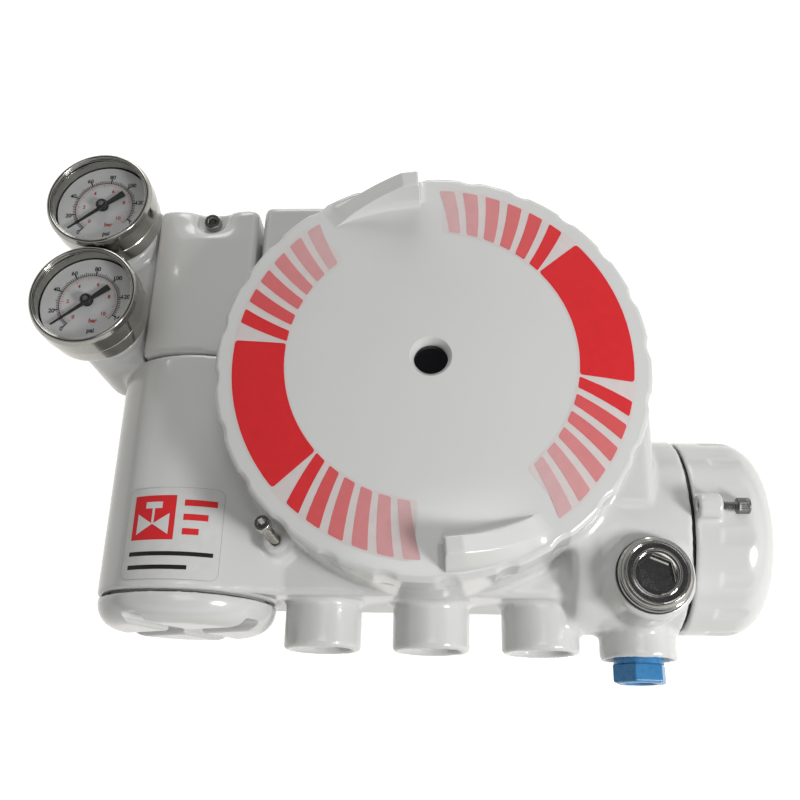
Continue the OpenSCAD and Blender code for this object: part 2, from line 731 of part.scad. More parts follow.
module spool_gasket() color(black) difference() {
  translate([0, 0, axis_h]) spool_bed(gasket_t);
  at_spool_bolts() translate([0, 0, axis_h - eps]) cylinder(r = m3_r + slip, h = 2 * gasket_t);
}

module spool_block() color(steel) difference() {
  translate([0, 0, axis_h + gasket_t]) spool_bed(spool_block_h);
  translate([spool_line_x, 0, spool_z]) rod_y(spool_r + run_gap, spool_end_y);
  at_spool_bolts() translate([0, 0, axis_h]) cylinder(r = m3_r + slip, h = 2 * spool_block_h);
}

module spool() color([0.8, 0.8, 0.82]) translate([spool_line_x, spool_block_y0 - 1, spool_z]) {
  land = (spool_block_y1 - spool_block_y0 + 2) / 5;
  rod_y(spool_r - 1.5, 5 * land);
  for (i = [0, 2, 4]) translate([0, i * land, 0]) rod_y(spool_r, land);
}

module spool_block_screws() color(steel) at_spool_bolts()
  translate([0, 0, axis_h + gasket_t + spool_block_h])
    cap_screw(m3_r, spool_block_h + gasket_t + 8, 2.7, 3);

// Electronics under the main cover

button_y = -30;
button_r = 4;
button_pitch = 14;
key_w = 6;
chip_x = 16;
chip_y = 7;
chip_w = 14;
chip_h = 2.2;
relay_w = 10;
relay_l = 18;
light_pitch = 7;
light_r = 2;
switch_w = 24;
switch_l = 8;
switch_y = 22;
switch_ways = 8;
switch_gap = 1;
module main_board() color(green) {
  translate([0, 0, board_z]) difference() {
    cylinder(r = board_r, h = board_t);
    at_posts() translate([0, 0, -eps]) cylinder(r = m3_r + slip, h = board_t + 2 * eps);
  }
  // Key switches and the larger packages
  for (i = [-1, 0, 1])
    translate([i * button_pitch - key_w / 2, button_y - key_w / 2, board_z + board_t - eps])
      cube([key_w, key_w, key_w]);
  translate([-chip_x - chip_w, chip_y, board_z + board_t - eps]) cube([chip_w, chip_w, chip_h]);
  translate([chip_x, chip_y, board_z + board_t - eps]) cube([relay_w, relay_l, chip_h]);
}

module board_shroud() color(black) difference() {
  union() {
    translate([0, 0, ledge_z]) cylinder(r = bay_r - 3, h = shroud_t);
    translate([0, 0, ledge_z]) rounded_disc(board_r, shroud_top_z - ledge_z, 2);
  }
  translate([0, 0, ledge_z - eps])
    cylinder(r = board_r - shroud_t, h = shroud_top_z - ledge_z - shroud_t + eps);
  for (i = [-1, 0, 1]) translate([i * button_pitch, button_y, ledge_z])
    cylinder(r = button_r + move_gap, h = drum_top);
  for (i = [-1, 0, 1]) translate([i * light_pitch, 0, ledge_z])
    cylinder(r = light_r + slip, h = drum_top);
  translate([-switch_w / 2 - switch_gap, switch_y - switch_gap, ledge_z])
    cube([switch_w + 2 * switch_gap, switch_l + 2 * switch_gap, drum_top]);
}

module board_screws() color(steel) at_posts()
  translate([0, 0, board_z + board_t]) cap_screw(m3_r, 8, 2.7, 2);

module button(i, tint) color(tint)
  translate([i * button_pitch, button_y, board_z + board_t + key_w - eps + 1 + move_gap]) {
    cylinder(r = button_r, h = shroud_top_z + 2.5 - board_z - board_t - key_w - 1);
    cylinder(r = button_r + 1.2, h = 1.5);
  }
module jog_up_button() button(-1, [0.3, 0.3, 0.32]);
module cal_button() button(0, [0.8, 0.2, 0.15]);
module jog_down_button() button(1, [0.3, 0.3, 0.32]);

module status_lights() color([0.9, 0.75, 0.2]) for (i = [-1, 0, 1])
  translate([i * light_pitch, 0, board_z + board_t])
    rounded_disc(light_r, shroud_top_z + 1 - board_z - board_t, light_r / 2);

module option_switches() color([0.7, 0.12, 0.1]) {
  step = switch_w / switch_ways;
  translate([-switch_w / 2, switch_y, board_z + board_t])
    cube([switch_w, switch_l, shroud_top_z - 1 - board_z - board_t]);
  for (i = [0:switch_ways - 1])
    translate([(i - switch_ways / 2 + 0.25) * step, switch_y + switch_l / 2, shroud_top_z - 1 - eps])
      cube([step / 2, switch_l / 5, 1]);
}

// Feedback shaft and position sensor

module feedback_shaft() color(steel) difference() {
  union() {
    translate([0, 0, -shaft_out]) cylinder(r = shaft_r, h = shaft_out + sensor_z - 2);
    translate([0, 0, sensor_z - 2 - eps]) cylinder(r = sensor_hole_r - run_gap, h = sensor_h);
    translate([0, 0, hub_bottom_z - bushing_flange_t - move_gap - 1.2])
      cylinder(r = shaft_r + 2, h = 1.2);
  }
  translate([0, 0, clip_z]) ring(shaft_r + eps, shaft_r - 0.6, clip_t);
  // Flat at the free end
  translate([shaft_r - 0.7, -shaft_r, -shaft_out - eps]) cube([shaft_r, shaft_d, 6]);
}

module shaft_bushings() color([0.65, 0.5, 0.25]) {
  for (m = [0, 1]) translate([0, 0, m == 0 ? floor_z : hub_bottom_z]) mirror([0, 0, m]) {
    translate([0, 0, -bushing_l]) ring(hub_bore_r - slip, shaft_r + run_gap, bushing_l + eps);
    ring(hub_bore_r + 2, shaft_r + run_gap, bushing_flange_t);
  }
}

module shaft_clip() color(steel) translate([0, 0, clip_z]) difference() {
  ring(shaft_r + 3, shaft_r - 0.6 + slip, clip_t);
  translate([0, -1.5, -eps]) cube([20, 3, 3]);
}

// Wound spring: a round wire swept along a helix
spring_turns = 4;
spring_steps = 20;
spring_sides = 8;
spring_wire_r = 0.6;
spring_coil_r = shaft_r + 1.2;
spring_z0 = clip_z + clip_t + 1;
spring_pitch = (bracket_z - 1.5 - spring_z0) / spring_turns;
function spring_point(k, j) = let(
  turn = 360 * k / spring_steps, side = 360 * j / spring_sides,
  r = spring_coil_r + spring_wire_r * cos(side)
) [
  r * cos(turn), r * sin(turn),
  spring_z0 + spring_pitch * k / spring_steps + spring_wire_r * sin(side)
];
module return_spring() color(steel) {
  n = spring_turns * spring_steps;
  polyhedron(
    [for (k = [0:n], j = [0:spring_sides - 1]) spring_point(k, j)],
    concat(
      [[for (j = [0:spring_sides - 1]) j]],
      [for (k = [0:n - 1], j = [0:spring_sides - 1]) [
        k * spring_sides + j, (k + 1) * spring_sides + j,
        (k + 1) * spring_sides + (j + 1) % spring_sides, k * spring_sides + (j + 1) % spring_sides
      ]],
      [[for (j = [spring_sides - 1:-1:0]) n * spring_sides + j]]
    )
  );
}

bracket_w = 26;
bracket_span = 60;
module at_sensor_bolts() for (s = [-1, 1]) translate([s * (sensor_r + 4), 0, 0]) children();

module sensor_bracket() color(steel) difference() {
  union() {
    translate([-bracket_span / 2, -bracket_w / 2, bracket_z])
      cube([bracket_span, bracket_w, bracket_t]);
    for (s = [-1, 1]) translate([s * (bracket_span - bracket_t) / 2, 0, 0])
      translate([-bracket_t / 2, -bracket_w / 2, floor_z])
        cube([bracket_t, bracket_w, bracket_z - floor_z + eps]);
  }
  translate([0, 0, bracket_z - eps]) cylinder(r = shaft_r + 1, h = bracket_t + 2 * eps);
  at_sensor_bolts() translate([0, 0, bracket_z - eps])
    cylinder(r = m3_r + slip, h = bracket_t + 2 * eps);
}

module position_sensor() color([0.12, 0.2, 0.4]) translate([0, 0, sensor_z]) difference() {
  union() {
    cylinder(r = sensor_r, h = sensor_h);
    linear_extrude(3) round_rect(2 * sensor_r + 16, 12, 3);
  }
  translate([0, 0, -eps]) cylinder(r = sensor_hole_r, h = sensor_h - 1);
  at_sensor_bolts() translate([0, 0, -eps]) cylinder(r = m3_r + slip, h = 4);
}

module sensor_screws() color(steel) at_sensor_bolts()
  translate([0, 0, sensor_z + 3]) cap_screw(m3_r, 6.5, 2.7, 2);

// Gauges

dial_z = gauge_front_z - 8;
module gauge_case(i) color(steel) at_gauge(i) difference() {
  translate([0, 0, gauge_z]) cylinder(r = case_r, h = gauge_h - 3);
  translate([0, 0, gauge_z + case_t]) cylinder(r = case_r - case_t, h = gauge_h);
  translate([0, 0, gauge_z - eps]) cylinder(r = socket_r + slip, h = 3);
}

module gauge_bezel(i) color(steel) at_gauge(i) difference() {
  translate([0, 0, gauge_front_z - 10]) rounded_disc(gauge_r, 10, 1.2);
  translate([0, 0, gauge_front_z - 10 - eps]) cylinder(r = case_r + slip, h = 8.6 + eps);
  translate([0, 0, gauge_front_z - 5]) cylinder(r = gauge_r - 2.6, h = 10);
}

module gauge_lens(i) color([0.9, 0.95, 1, 0.25]) at_gauge(i)
  translate([0, 0, gauge_front_z - 3]) cylinder(r = case_r - slip, h = 1.6);

module gauge_dial(i) color([0.95, 0.95, 0.95]) at_gauge(i)
  translate([0, 0, dial_z]) ring(case_r - case_t - 0.5, 1.4 + slip, 0.6);

module gauge_movement(i) color([0.7, 0.6, 0.3]) at_gauge(i) {
  translate([0, 0, gauge_z + 4]) cylinder(r = 9, h = dial_z - gauge_z - 4);
  translate([0, 0, dial_z - eps]) cylinder(r = 1.4, h = 1.2);
  translate([0, 0, dial_z]) cylinder(r = 0.8, h = 3.4);
}

// Pointer near its zero stop, lower left: thin tip, broad tail and a knob on top
pointer_angle = 218;
pointer_t = 0.8;
tip_l = 16.8;
tail_l = 10;
tail_w = 2.4;
pointer_w = 1.3;
knob_r = 2.5;
knob_h = 1.5;
knob_neck_h = 1.2;
module pointer_half() polygon([
  [-tail_l, 0], [-tail_l, tail_w / 2], [-knob_r, pointer_w / 2 + 0.1],
  [0, pointer_w / 2], [tip_l, 0.1], [tip_l, 0]
]);
module gauge_pointer(i) color(black) at_gauge(i)
  translate([0, 0, dial_z + 1.5]) rotate([0, 0, pointer_angle]) difference() {
    union() {
      linear_extrude(pointer_t) {
        pointer_half();
        mirror([0, 1]) pointer_half();
      }
      cylinder(r = knob_r - 0.8, h = knob_neck_h + eps);
      translate([0, 0, knob_neck_h]) rounded_disc(knob_r, knob_h, 0.5);
    }
    translate([0, 0, -eps]) cylinder(r = 0.8 + run_gap, h = 2 + eps);
  }

module gauge_tube(i) color([0.7, 0.55, 0.25]) at_gauge(i)
  translate([0, 0, gauge_z + 7]) rotate_extrude(angle = 250) translate([14, 0]) circle(1.5);

module gauge_socket(i) color([0.7, 0.6, 0.3]) at_gauge(i) {
  translate([0, 0, gauge_boss_h - 12]) cylinder(r = socket_r, h = gauge_z - gauge_boss_h + 16);
  translate([0, 0, gauge_boss_h]) cylinder(r = 8.1, h = gauge_z - gauge_boss_h, $fn = 6);
  // Arm that feeds the curved tube
  translate([0, 0, gauge_z + case_t]) cube([15.5, 4, 3]);
  translate([11, 0, gauge_z + case_t]) cube([4.5, 4, 4.4]);
}

module lower_gauge_case() gauge_case(0);
module lower_gauge_bezel() gauge_bezel(0);
module lower_gauge_lens() gauge_lens(0);
module lower_gauge_dial() gauge_dial(0);
module lower_gauge_pointer() gauge_pointer(0);
module lower_gauge_movement() gauge_movement(0);
module lower_gauge_tube() gauge_tube(0);
module lower_gauge_socket() gauge_socket(0);
module upper_gauge_case() gauge_case(1);
module upper_gauge_bezel() gauge_bezel(1);
module upper_gauge_lens() gauge_lens(1);
module upper_gauge_dial() gauge_dial(1);
module upper_gauge_pointer() gauge_pointer(1);
module upper_gauge_movement() gauge_movement(1);
module upper_gauge_tube() gauge_tube(1);
module upper_gauge_socket() gauge_socket(1);

housing();
main_cover();
cover_window();
window_ring();
cover_seal();
cover_lock_screw();
terminal_cap();
cap_seal();
cap_lock_screw();
terminal_board();
terminal_block();
terminal_screws();
ground_screw();
conduit_plug();
conduit_seal();
shipping_plug();
driver_cover();
driver_seal();
driver_module();
pressure_regulator();
spool_cover();
spool_cover_screw();
spool_gasket();
spool_block();
spool();
spool_block_screws();
main_board();
board_shroud();
board_screws();
cal_button();
jog_up_button();
jog_down_button();
status_lights();
option_switches();
feedback_shaft();
shaft_bushings();
shaft_clip();
return_spring();
position_sensor();
sensor_bracket();
sensor_screws();
lower_gauge_case();
lower_gauge_bezel();
lower_gauge_lens();
lower_gauge_dial();
lower_gauge_pointer();
lower_gauge_movement();
lower_gauge_tube();
lower_gauge_socket();
upper_gauge_case();
upper_gauge_bezel();
upper_gauge_lens();
upper_gauge_dial();
upper_gauge_pointer();
upper_gauge_movement();
upper_gauge_tube();
upper_gauge_socket();
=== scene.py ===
import json
import math

import bmesh
import bpy
import numpy as np
from mathutils import Matrix, Vector


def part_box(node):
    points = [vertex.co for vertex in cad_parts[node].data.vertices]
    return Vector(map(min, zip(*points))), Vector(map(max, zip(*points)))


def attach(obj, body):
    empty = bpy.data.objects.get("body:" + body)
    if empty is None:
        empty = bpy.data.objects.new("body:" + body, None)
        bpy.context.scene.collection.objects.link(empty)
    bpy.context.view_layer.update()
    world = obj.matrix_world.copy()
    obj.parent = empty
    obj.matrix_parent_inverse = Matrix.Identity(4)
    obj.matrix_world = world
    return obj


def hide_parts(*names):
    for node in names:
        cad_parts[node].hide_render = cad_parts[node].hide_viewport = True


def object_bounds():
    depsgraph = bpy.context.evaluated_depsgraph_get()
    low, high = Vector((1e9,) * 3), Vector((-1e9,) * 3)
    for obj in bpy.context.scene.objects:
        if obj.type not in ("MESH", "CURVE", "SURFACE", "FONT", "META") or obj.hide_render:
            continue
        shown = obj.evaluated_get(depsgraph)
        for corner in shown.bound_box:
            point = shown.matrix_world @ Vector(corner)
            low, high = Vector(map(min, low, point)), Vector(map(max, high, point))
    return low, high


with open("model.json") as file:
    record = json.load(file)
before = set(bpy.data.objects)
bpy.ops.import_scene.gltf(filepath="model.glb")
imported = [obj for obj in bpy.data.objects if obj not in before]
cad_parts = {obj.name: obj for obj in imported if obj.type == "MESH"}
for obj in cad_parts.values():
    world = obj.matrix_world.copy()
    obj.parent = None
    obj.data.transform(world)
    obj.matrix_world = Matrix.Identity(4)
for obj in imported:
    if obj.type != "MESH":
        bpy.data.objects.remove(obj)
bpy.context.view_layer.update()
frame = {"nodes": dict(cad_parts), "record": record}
nodes = frame["nodes"]
scene = bpy.context.scene
scene.view_settings.view_transform = "Standard"
mm = 0.001
print("frame:", len(nodes), "nodes")


# camera of the photograph: place and aim in metres, roll in degrees about the line of sight
shot = {"place": (0.00635, -0.13523, 0.40553), "aim": (-0.0110, -0.0147, 0.100), "roll": 1.4, "lens": 41.1}


def placeCamera():
    place, aim = Vector(shot["place"]), Vector(shot["aim"])
    back = (place - aim).normalized()
    right = Vector((0, 1, 0)).cross(back).normalized()
    up = back.cross(right)
    turn = math.radians(shot["roll"])
    right, up = right * math.cos(turn) + up * math.sin(turn), up * math.cos(turn) - right * math.sin(turn)
    data = bpy.data.cameras.new("shotCamera")
    data.lens = shot["lens"]
    data.sensor_width = 36
    data.clip_start = 0.01
    camera = bpy.data.objects.new("shotCamera", data)
    camera.matrix_world = Matrix((right, up, back)).transposed().to_4x4()
    camera.location = place
    scene.collection.objects.link(camera)
    scene.camera = camera


placeCamera()


# one shader socket with arithmetic: every operator adds a Math node
class Tone:
    def __init__(self, finish, socket):
        self.finish = finish
        self.socket = socket

    def math(self, operation, other=0.0, swap=False):
        first, second = (other, self) if swap else (self, other)
        return self.finish.node("ShaderNodeMath", {"operation": operation}, {0: first, 1: second})

    def __add__(self, other):
        return self.math("ADD", other)

    def __sub__(self, other):
        return self.math("SUBTRACT", other)

    def __rsub__(self, other):
        return self.math("SUBTRACT", other, True)

    def __mul__(self, other):
        return self.math("MULTIPLY", other)

    __radd__ = __add__
    __rmul__ = __mul__


# a material built node by node round its Principled shader
class Finish:
    def __init__(self, name, **sockets):
        self.material = bpy.data.materials.new(name)
        self.material.use_nodes = True
        self.tree = self.material.node_tree
        self.shader = self.tree.nodes["Principled BSDF"]
        for key, value in sockets.items():
            self.set(key, value)

    def feed(self, socket, value):
        if isinstance(value, Tone):
            self.tree.links.new(value.socket, socket)
        else:
            socket.default_value = value

    def set(self, key, value):
        titles = {"color": "Base Color", "ior": "IOR", "specular": "Specular IOR Level"}
        self.feed(self.shader.inputs[titles.get(key, key.capitalize())], value)

    def node(self, kind, settings=None, inputs=None, output=0):
        made = self.tree.nodes.new(kind)
        for key, value in (settings or {}).items():
            if key == "stops":
                ramp = made.color_ramp
                for i, (at, color) in enumerate(value):
                    stop = ramp.elements[i] if i < 2 else ramp.elements.new(at)
                    stop.position = at
                    stop.color = (*color, 1)
            else:
                setattr(made, key, value)
        for key, value in (inputs or {}).items():
            self.feed(made.inputs[key], value)
        return Tone(self, made.outputs[output])

    def spot(self):
        return self.node("ShaderNodeTexCoord", output=3)

    def noise(self, scale, detail=2.0, stretch=(1, 1, 1)):
        place = self.node("ShaderNodeMapping", inputs={"Vector": self.spot(), "Scale": stretch})
        return self.node("ShaderNodeTexNoise", inputs={"Vector": place, "Scale": scale, "Detail": detail})

    def ramp(self, value, *stops):
        return self.node("ShaderNodeValToRGB", {"stops": stops}, {0: value})

    def bump(self, height, strength, distance):
        self.set("normal", self.node(
            "ShaderNodeBump", inputs={"Height": height, "Strength": strength, "Distance": distance}))


def shade(color, share):
    return tuple(channel * share for channel in color)


# gloss enamel over a casting: faint cloudiness, orange peel and uneven gloss
def makePaint(name, color, peel):
    paint = Finish(name, ior=1.5)
    cloud = paint.noise(18, 4)
    paint.set("color", paint.ramp(cloud, (0.3, shade(color, 0.965)), (0.7, color)))
    paint.set("roughness", 0.11 + paint.noise(140, 3) * 0.10)
    paint.bump(paint.noise(520, 2), 0.22, peel)
    return paint.material


# turned or polished metal with fine streaks
def makeMetal(name, color, rough, spread, stretch=(1, 1, 1), scale=700):
    metal = Finish(name, metallic=1.0)
    streak = metal.noise(scale, 3, stretch)
    metal.set("color", metal.ramp(streak, (0.25, shade(color, 0.86)), (0.75, color)))
    metal.set("roughness", rough + streak * spread)
    metal.bump(streak, 0.12, 0.00008)
    return metal.material


# moulded or rubbery stuff with a fine grain
def makeMoulded(name, color, rough, grain, scale=900):
    moulded = Finish(name)
    speck = moulded.noise(scale, 3)
    moulded.set("color", moulded.ramp(speck, (0.3, shade(color, 0.88)), (0.7, color)))
    moulded.set("roughness", rough + speck * 0.12)
    moulded.bump(speck, 0.3, grain)
    return moulded.material


# printed film: ink with a little mottle
def makeInk(name, color, rough=0.42):
    ink = Finish(name, specular=0.18)
    mottle = ink.noise(240, 3)
    ink.set("color", ink.ramp(mottle, (0.3, shade(color, 0.94)), (0.7, color)))
    ink.set("roughness", rough + mottle * 0.06)
    return ink.material


def makeClear(name, color, alpha):
    clear = Finish(name, color=(*color, 1), alpha=alpha, ior=1.5)
    smear = clear.noise(60, 2)
    clear.set("roughness", 0.03 + smear * 0.03)
    return clear.material


paintColor = (0.66, 0.665, 0.66)
finishes = {
    "white_paint": makePaint("whitePaint", paintColor, 0.00012),
    "stainless": makeMetal("stainless", (0.41, 0.40, 0.365), 0.12, 0.10, (1, 1, 0.06)),
    "bezel": makeMetal("bezelSteel", (0.33, 0.325, 0.30), 0.10, 0.08),
    # conduit plug steel: base darker than the stainless as a painted dark reflection on its face, nearly
    # mirror smooth
    "dark_reflection_steel": makeMetal("darkReflectionSteel", (0.36, 0.355, 0.335), 0.06, 0.10, scale=500),
    "zinc": makeMetal("zincPlate", (0.44, 0.44, 0.42), 0.24, 0.14),
    "dark_steel": makeMetal("darkSteel", (0.19, 0.19, 0.18), 0.36, 0.14),
    "aluminium": makeMetal("machinedAluminium", (0.72, 0.72, 0.73), 0.30, 0.12, (1, 0.1, 1)),
    "brass": makeMetal("brass", (0.66, 0.47, 0.20), 0.25, 0.12),
    "seal_rubber": makeMoulded("sealRubber", (0.012, 0.012, 0.013), 0.42, 0.00006),
    "grey_rubber": makeMoulded("greyRubber", (0.10, 0.10, 0.10), 0.42, 0.00006),
    "black_plastic": makeMoulded("blackPlastic", (0.018, 0.018, 0.02), 0.45, 0.0001),
    "board_green": makeMoulded("boardGreen", (0.02, 0.12, 0.045), 0.35, 0.00004, 300),
    "blue_plastic": makeMoulded("bluePlastic", (0.045, 0.23, 0.50), 0.22, 0.00008, 500),
    "red_plastic": makeMoulded("redPlastic", (0.45, 0.02, 0.02), 0.35, 0.00006),
    "dial_white": makeInk("dialWhite", (0.64, 0.65, 0.655), 0.45),
    "pointer_black": makeMoulded("pointerBlack", (0.01, 0.01, 0.01), 0.40, 0.00003),
    "lamp": makeMoulded("lampAmber", (0.70, 0.42, 0.05), 0.20, 0.00002),
    "clear_glass": makeClear("gaugeGlass", (0.05, 0.055, 0.06), 0.06),
    "dark_glass": makeClear("sightGlass", (0.004, 0.004, 0.005), 0.96),
}
inks = {
    "red": makeInk("labelRed", (0.68, 0.026, 0.032)),
    "white": makeInk("labelWhite", (0.64, 0.64, 0.635)),
    "film": makeInk("labelFilm", (0.66, 0.60, 0.595)),
    "grey": makeInk("filmEdge", (0.42, 0.42, 0.41)),
    "black": makeInk("printBlack", (0.015, 0.015, 0.016)),
    "scaleRed": makeInk("scaleRed", (0.50, 0.03, 0.03)),
}
print("finishes:", len(finishes) + len(inks))


dressing = {"weld": 1e-6, "smoothUpTo": 32}  # metres, degrees


# modifier for the plain solids: merged, then smooth wherever the faces meet below an angle
def smoothGroup():
    group = bpy.data.node_groups.new("softShading", "GeometryNodeTree")
    group.interface.new_socket("Geometry", in_out="INPUT", socket_type="NodeSocketGeometry")
    group.interface.new_socket("Geometry", in_out="OUTPUT", socket_type="NodeSocketGeometry")
    start = group.nodes.new("NodeGroupInput")
    weld = group.nodes.new("GeometryNodeMergeByDistance")
    weld.inputs["Distance"].default_value = dressing["weld"]
    angle = group.nodes.new("GeometryNodeInputMeshEdgeAngle")
    soft = group.nodes.new("FunctionNodeCompare")
    soft.operation = "LESS_THAN"
    soft.inputs[1].default_value = math.radians(dressing["smoothUpTo"])
    faces = group.nodes.new("GeometryNodeSetShadeSmooth")
    edges = group.nodes.new("GeometryNodeSetShadeSmooth")
    edges.domain = "EDGE"
    end = group.nodes.new("NodeGroupOutput")
    link = group.links.new
    link(start.outputs[0], weld.inputs[0])
    link(weld.outputs[0], faces.inputs[0])
    link(faces.outputs[0], edges.inputs[0])
    link(angle.outputs["Unsigned Angle"], soft.inputs[0])
    link(soft.outputs[0], edges.inputs["Shade Smooth"])
    link(edges.outputs[0], end.inputs[0])
    return group


softShading = smoothGroup()
slotOf = {part["node"]: part["material_slot"] for part in frame["record"]["subparts"]}
bodyOf = {name: body for body, names in frame["record"]["behaviour"]["bodies"].items() for name in names}
otherFinish = {"driver_seal": "grey_rubber"}  # every other solid wears its slot's finish
for name, solid in nodes.items():
    solid.data.materials.clear()
    solid.data.materials.append(finishes[otherFinish.get(name, slotOf[name])])
    solid.modifiers.new("softShading", "NODES").node_group = softShading
print("solids dressed")


# middle and half size of a solid's box, in millimetres
def boxOf(node):
    low, high = (np.array(corner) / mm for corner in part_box(node))
    return (low + high) / 2, (high - low) / 2


# new piece from a mesh: merged, outward, smooth up to an angle, on its body and slot
def addPiece(name, mesh, body, slot, finish=None, stands=(), angle=34):
    work = bmesh.new()
    work.from_mesh(mesh)
    bmesh.ops.remove_doubles(work, verts=work.verts, dist=2e-7)
    bmesh.ops.dissolve_degenerate(work, edges=work.edges, dist=1e-8)
    bmesh.ops.recalc_face_normals(work, faces=work.faces)
    work.to_mesh(mesh)
    work.free()
    mesh.polygons.foreach_set("use_smooth", np.ones(len(mesh.polygons), bool))
    mesh.set_sharp_from_angle(angle=math.radians(angle))
    if not mesh.materials:
        mesh.materials.append(finish or finishes[slot])
    piece = bpy.data.objects.new(name, mesh)
    scene.collection.objects.link(piece)
    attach(piece, body)
    if stands:
        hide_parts(*stands)
    return piece


# faces of a grid of rows by columns, with either direction closed on itself
def gridFaces(rows, columns, closeRows=False, closeColumns=False):
    r = np.arange(rows if closeRows else rows - 1)[:, None]
    c = np.arange(columns if closeColumns else columns - 1)[None, :]
    r2, c2 = (r + 1) % rows, (c + 1) % columns
    quad = [r * columns + c, r * columns + c2, r2 * columns + c2, r2 * columns + c]
    return np.stack([np.broadcast_to(q, np.broadcast(r, c).shape) for q in quad], -1).reshape(-1, 4)


def gridMesh(name, points, closeRows=False, closeColumns=False):
    mesh = bpy.data.meshes.new(name)
    faces = gridFaces(points.shape[0], points.shape[1], closeRows, closeColumns)
    mesh.from_pydata(points.reshape(-1, 3).tolist(), [], faces.tolist())
    return mesh


# several meshes in one, each keeping its material
def joinMeshes(name, meshes):
    work = bmesh.new()
    materials = []
    for mesh in meshes:
        first = len(work.faces)
        work.from_mesh(mesh)
        material = mesh.materials[0] if mesh.materials else None
        if material not in materials:
            materials.append(material)
        work.faces.ensure_lookup_table()
        for face in work.faces[first:]:
            face.material_index = materials.index(material)
    joined = bpy.data.meshes.new(name)
    work.to_mesh(joined)
    work.free()
    for material in materials:
        joined.materials.append(material)
    return joined


# corners given as (x, y, radius): straight runs with an arc of that radius at each corner
def roundedLine(corners, steps=6):
    line = []
    for i, (x, y, radius) in enumerate(corners):
        here = np.array((x, y), float)
        if radius == 0 or i in (0, len(corners) - 1):
            line.append(here)
            continue
        toward = np.array(corners[i - 1][:2], float) - here
        away = np.array(corners[i + 1][:2], float) - here
        toward, away = toward / np.linalg.norm(toward), away / np.linalg.norm(away)
        half = math.acos(np.clip(toward @ away, -1, 1)) / 2
        middle = here + (toward + away) / np.linalg.norm(toward + away) * radius / math.sin(half)
        start, finish = here + toward * radius / math.tan(half), here + away * radius / math.tan(half)
        a, b = start - middle, finish - middle
        sweep = math.acos(np.clip(a @ b / radius ** 2, -1, 1))
        t = np.linspace(0, 1, steps + 1)[:, None]
        line.extend(middle + (np.sin((1 - t) * sweep) * a + np.sin(t * sweep) * b) / math.sin(sweep))
    return np.array(line)


# frame of a part that stands along an axis: local x, y, z columns
def standAlong(axis):
    z = np.array(axis, float)
    x = np.cross((0, 1, 0) if abs(z[1]) < 0.9 else (0, 0, 1), z)
    x /= np.linalg.norm(x)
    return np.stack([x, np.cross(z, x), z], 1)


kinds = {"round": 0, "hexagon": 1, "knurl": 2, "thread": 3}
cutDepth = {"knurl": 0.16, "thread": 0.9}  # knurl in millimetres, thread as a share of its pitch


# profile rows of (radius, height, kind) carried round an axis: point = place + r cos a, r sin a, h;
# a hexagon's r is half its width, and a thread's crest climbs with the angle
def turned(name, profile, place, axis=(0, 0, 1), count=96, spin=0.0, knurls=24, pitch=0.7):
    a = np.linspace(0, 2 * math.pi, count, endpoint=False)[:, None]
    profile = np.asarray(profile, float)
    r, h = profile[None, :, 0], profile[None, :, 1]
    kind = profile[None, :, 2] if profile.shape[1] > 2 else np.zeros_like(r)
    sixth = math.pi / 3
    hexagon = r / np.cos((a - math.radians(spin) + sixth / 2) % sixth - sixth / 2)
    knurled = r - cutDepth["knurl"] * (0.5 + 0.5 * np.cos(knurls * a))
    thread = r - cutDepth["thread"] * pitch * np.abs(((h / pitch - a / (2 * math.pi)) % 1) - 0.5)
    reach = r + 0 * a
    for title, shaped in (("hexagon", hexagon), ("knurl", knurled), ("thread", thread)):
        reach = np.where(kind == kinds[title], shaped, reach)
    local = np.stack([reach * np.cos(a), reach * np.sin(a), h + 0 * a], -1) * mm
    return gridMesh(name, local @ standAlong(axis).T + np.array(place) * mm, closeRows=True)


# rounded line whose rows are all of one kind
def roundedRows(corners, kind="round", steps=6):
    return ofKind(roundedLine(corners, steps), kind)


def ofKind(line, kind):
    return np.column_stack([line, np.full(len(line), kinds[kind])])


# evaluated copy of an object's mesh
def bakedMesh(obj):
    depsgraph = bpy.context.evaluated_depsgraph_get()
    depsgraph.update()
    return bpy.data.meshes.new_from_object(obj.evaluated_get(depsgraph))


def coordsOf(mesh):
    flat = np.empty(len(mesh.vertices) * 3, np.float32)
    mesh.vertices.foreach_get("co", flat)
    return flat.reshape(-1, 3).astype(float)


def smoothStep(low, high, value):
    t = np.clip((value - low) / (high - low), 0, 1)
    return t * t * (3 - 2 * t)


def putBack(mesh, spots):
    mesh.vertices.foreach_set("co", (spots * mm).astype(np.float32).ravel())


def addSmooth(piece, title, rounds):
    smooth = piece.modifiers.new(title, "SMOOTH")
    smooth.factor = 0.5
    smooth.iterations = rounds
    return smooth


# weights in ten levels that smooth a skin further inside a box, fading over a margin
def blendInside(skin, low, high, margin, rounds):
    spots = coordsOf(skin.data) / mm
    share = 1.0
    for i in range(3):
        rise = smoothStep(low[i], low[i] + margin, spots[:, i])
        fall = smoothStep(high[i] - margin, high[i], spots[:, i])
        share = share * (rise * (1 - fall))
    group = skin.vertex_groups.new(name="blend")
    for level in range(1, 11):
        group.add(np.flatnonzero(np.round(share * 10) == level).tolist(), level / 10, "REPLACE")
    addSmooth(skin, "blend", rounds).vertex_group = "blend"


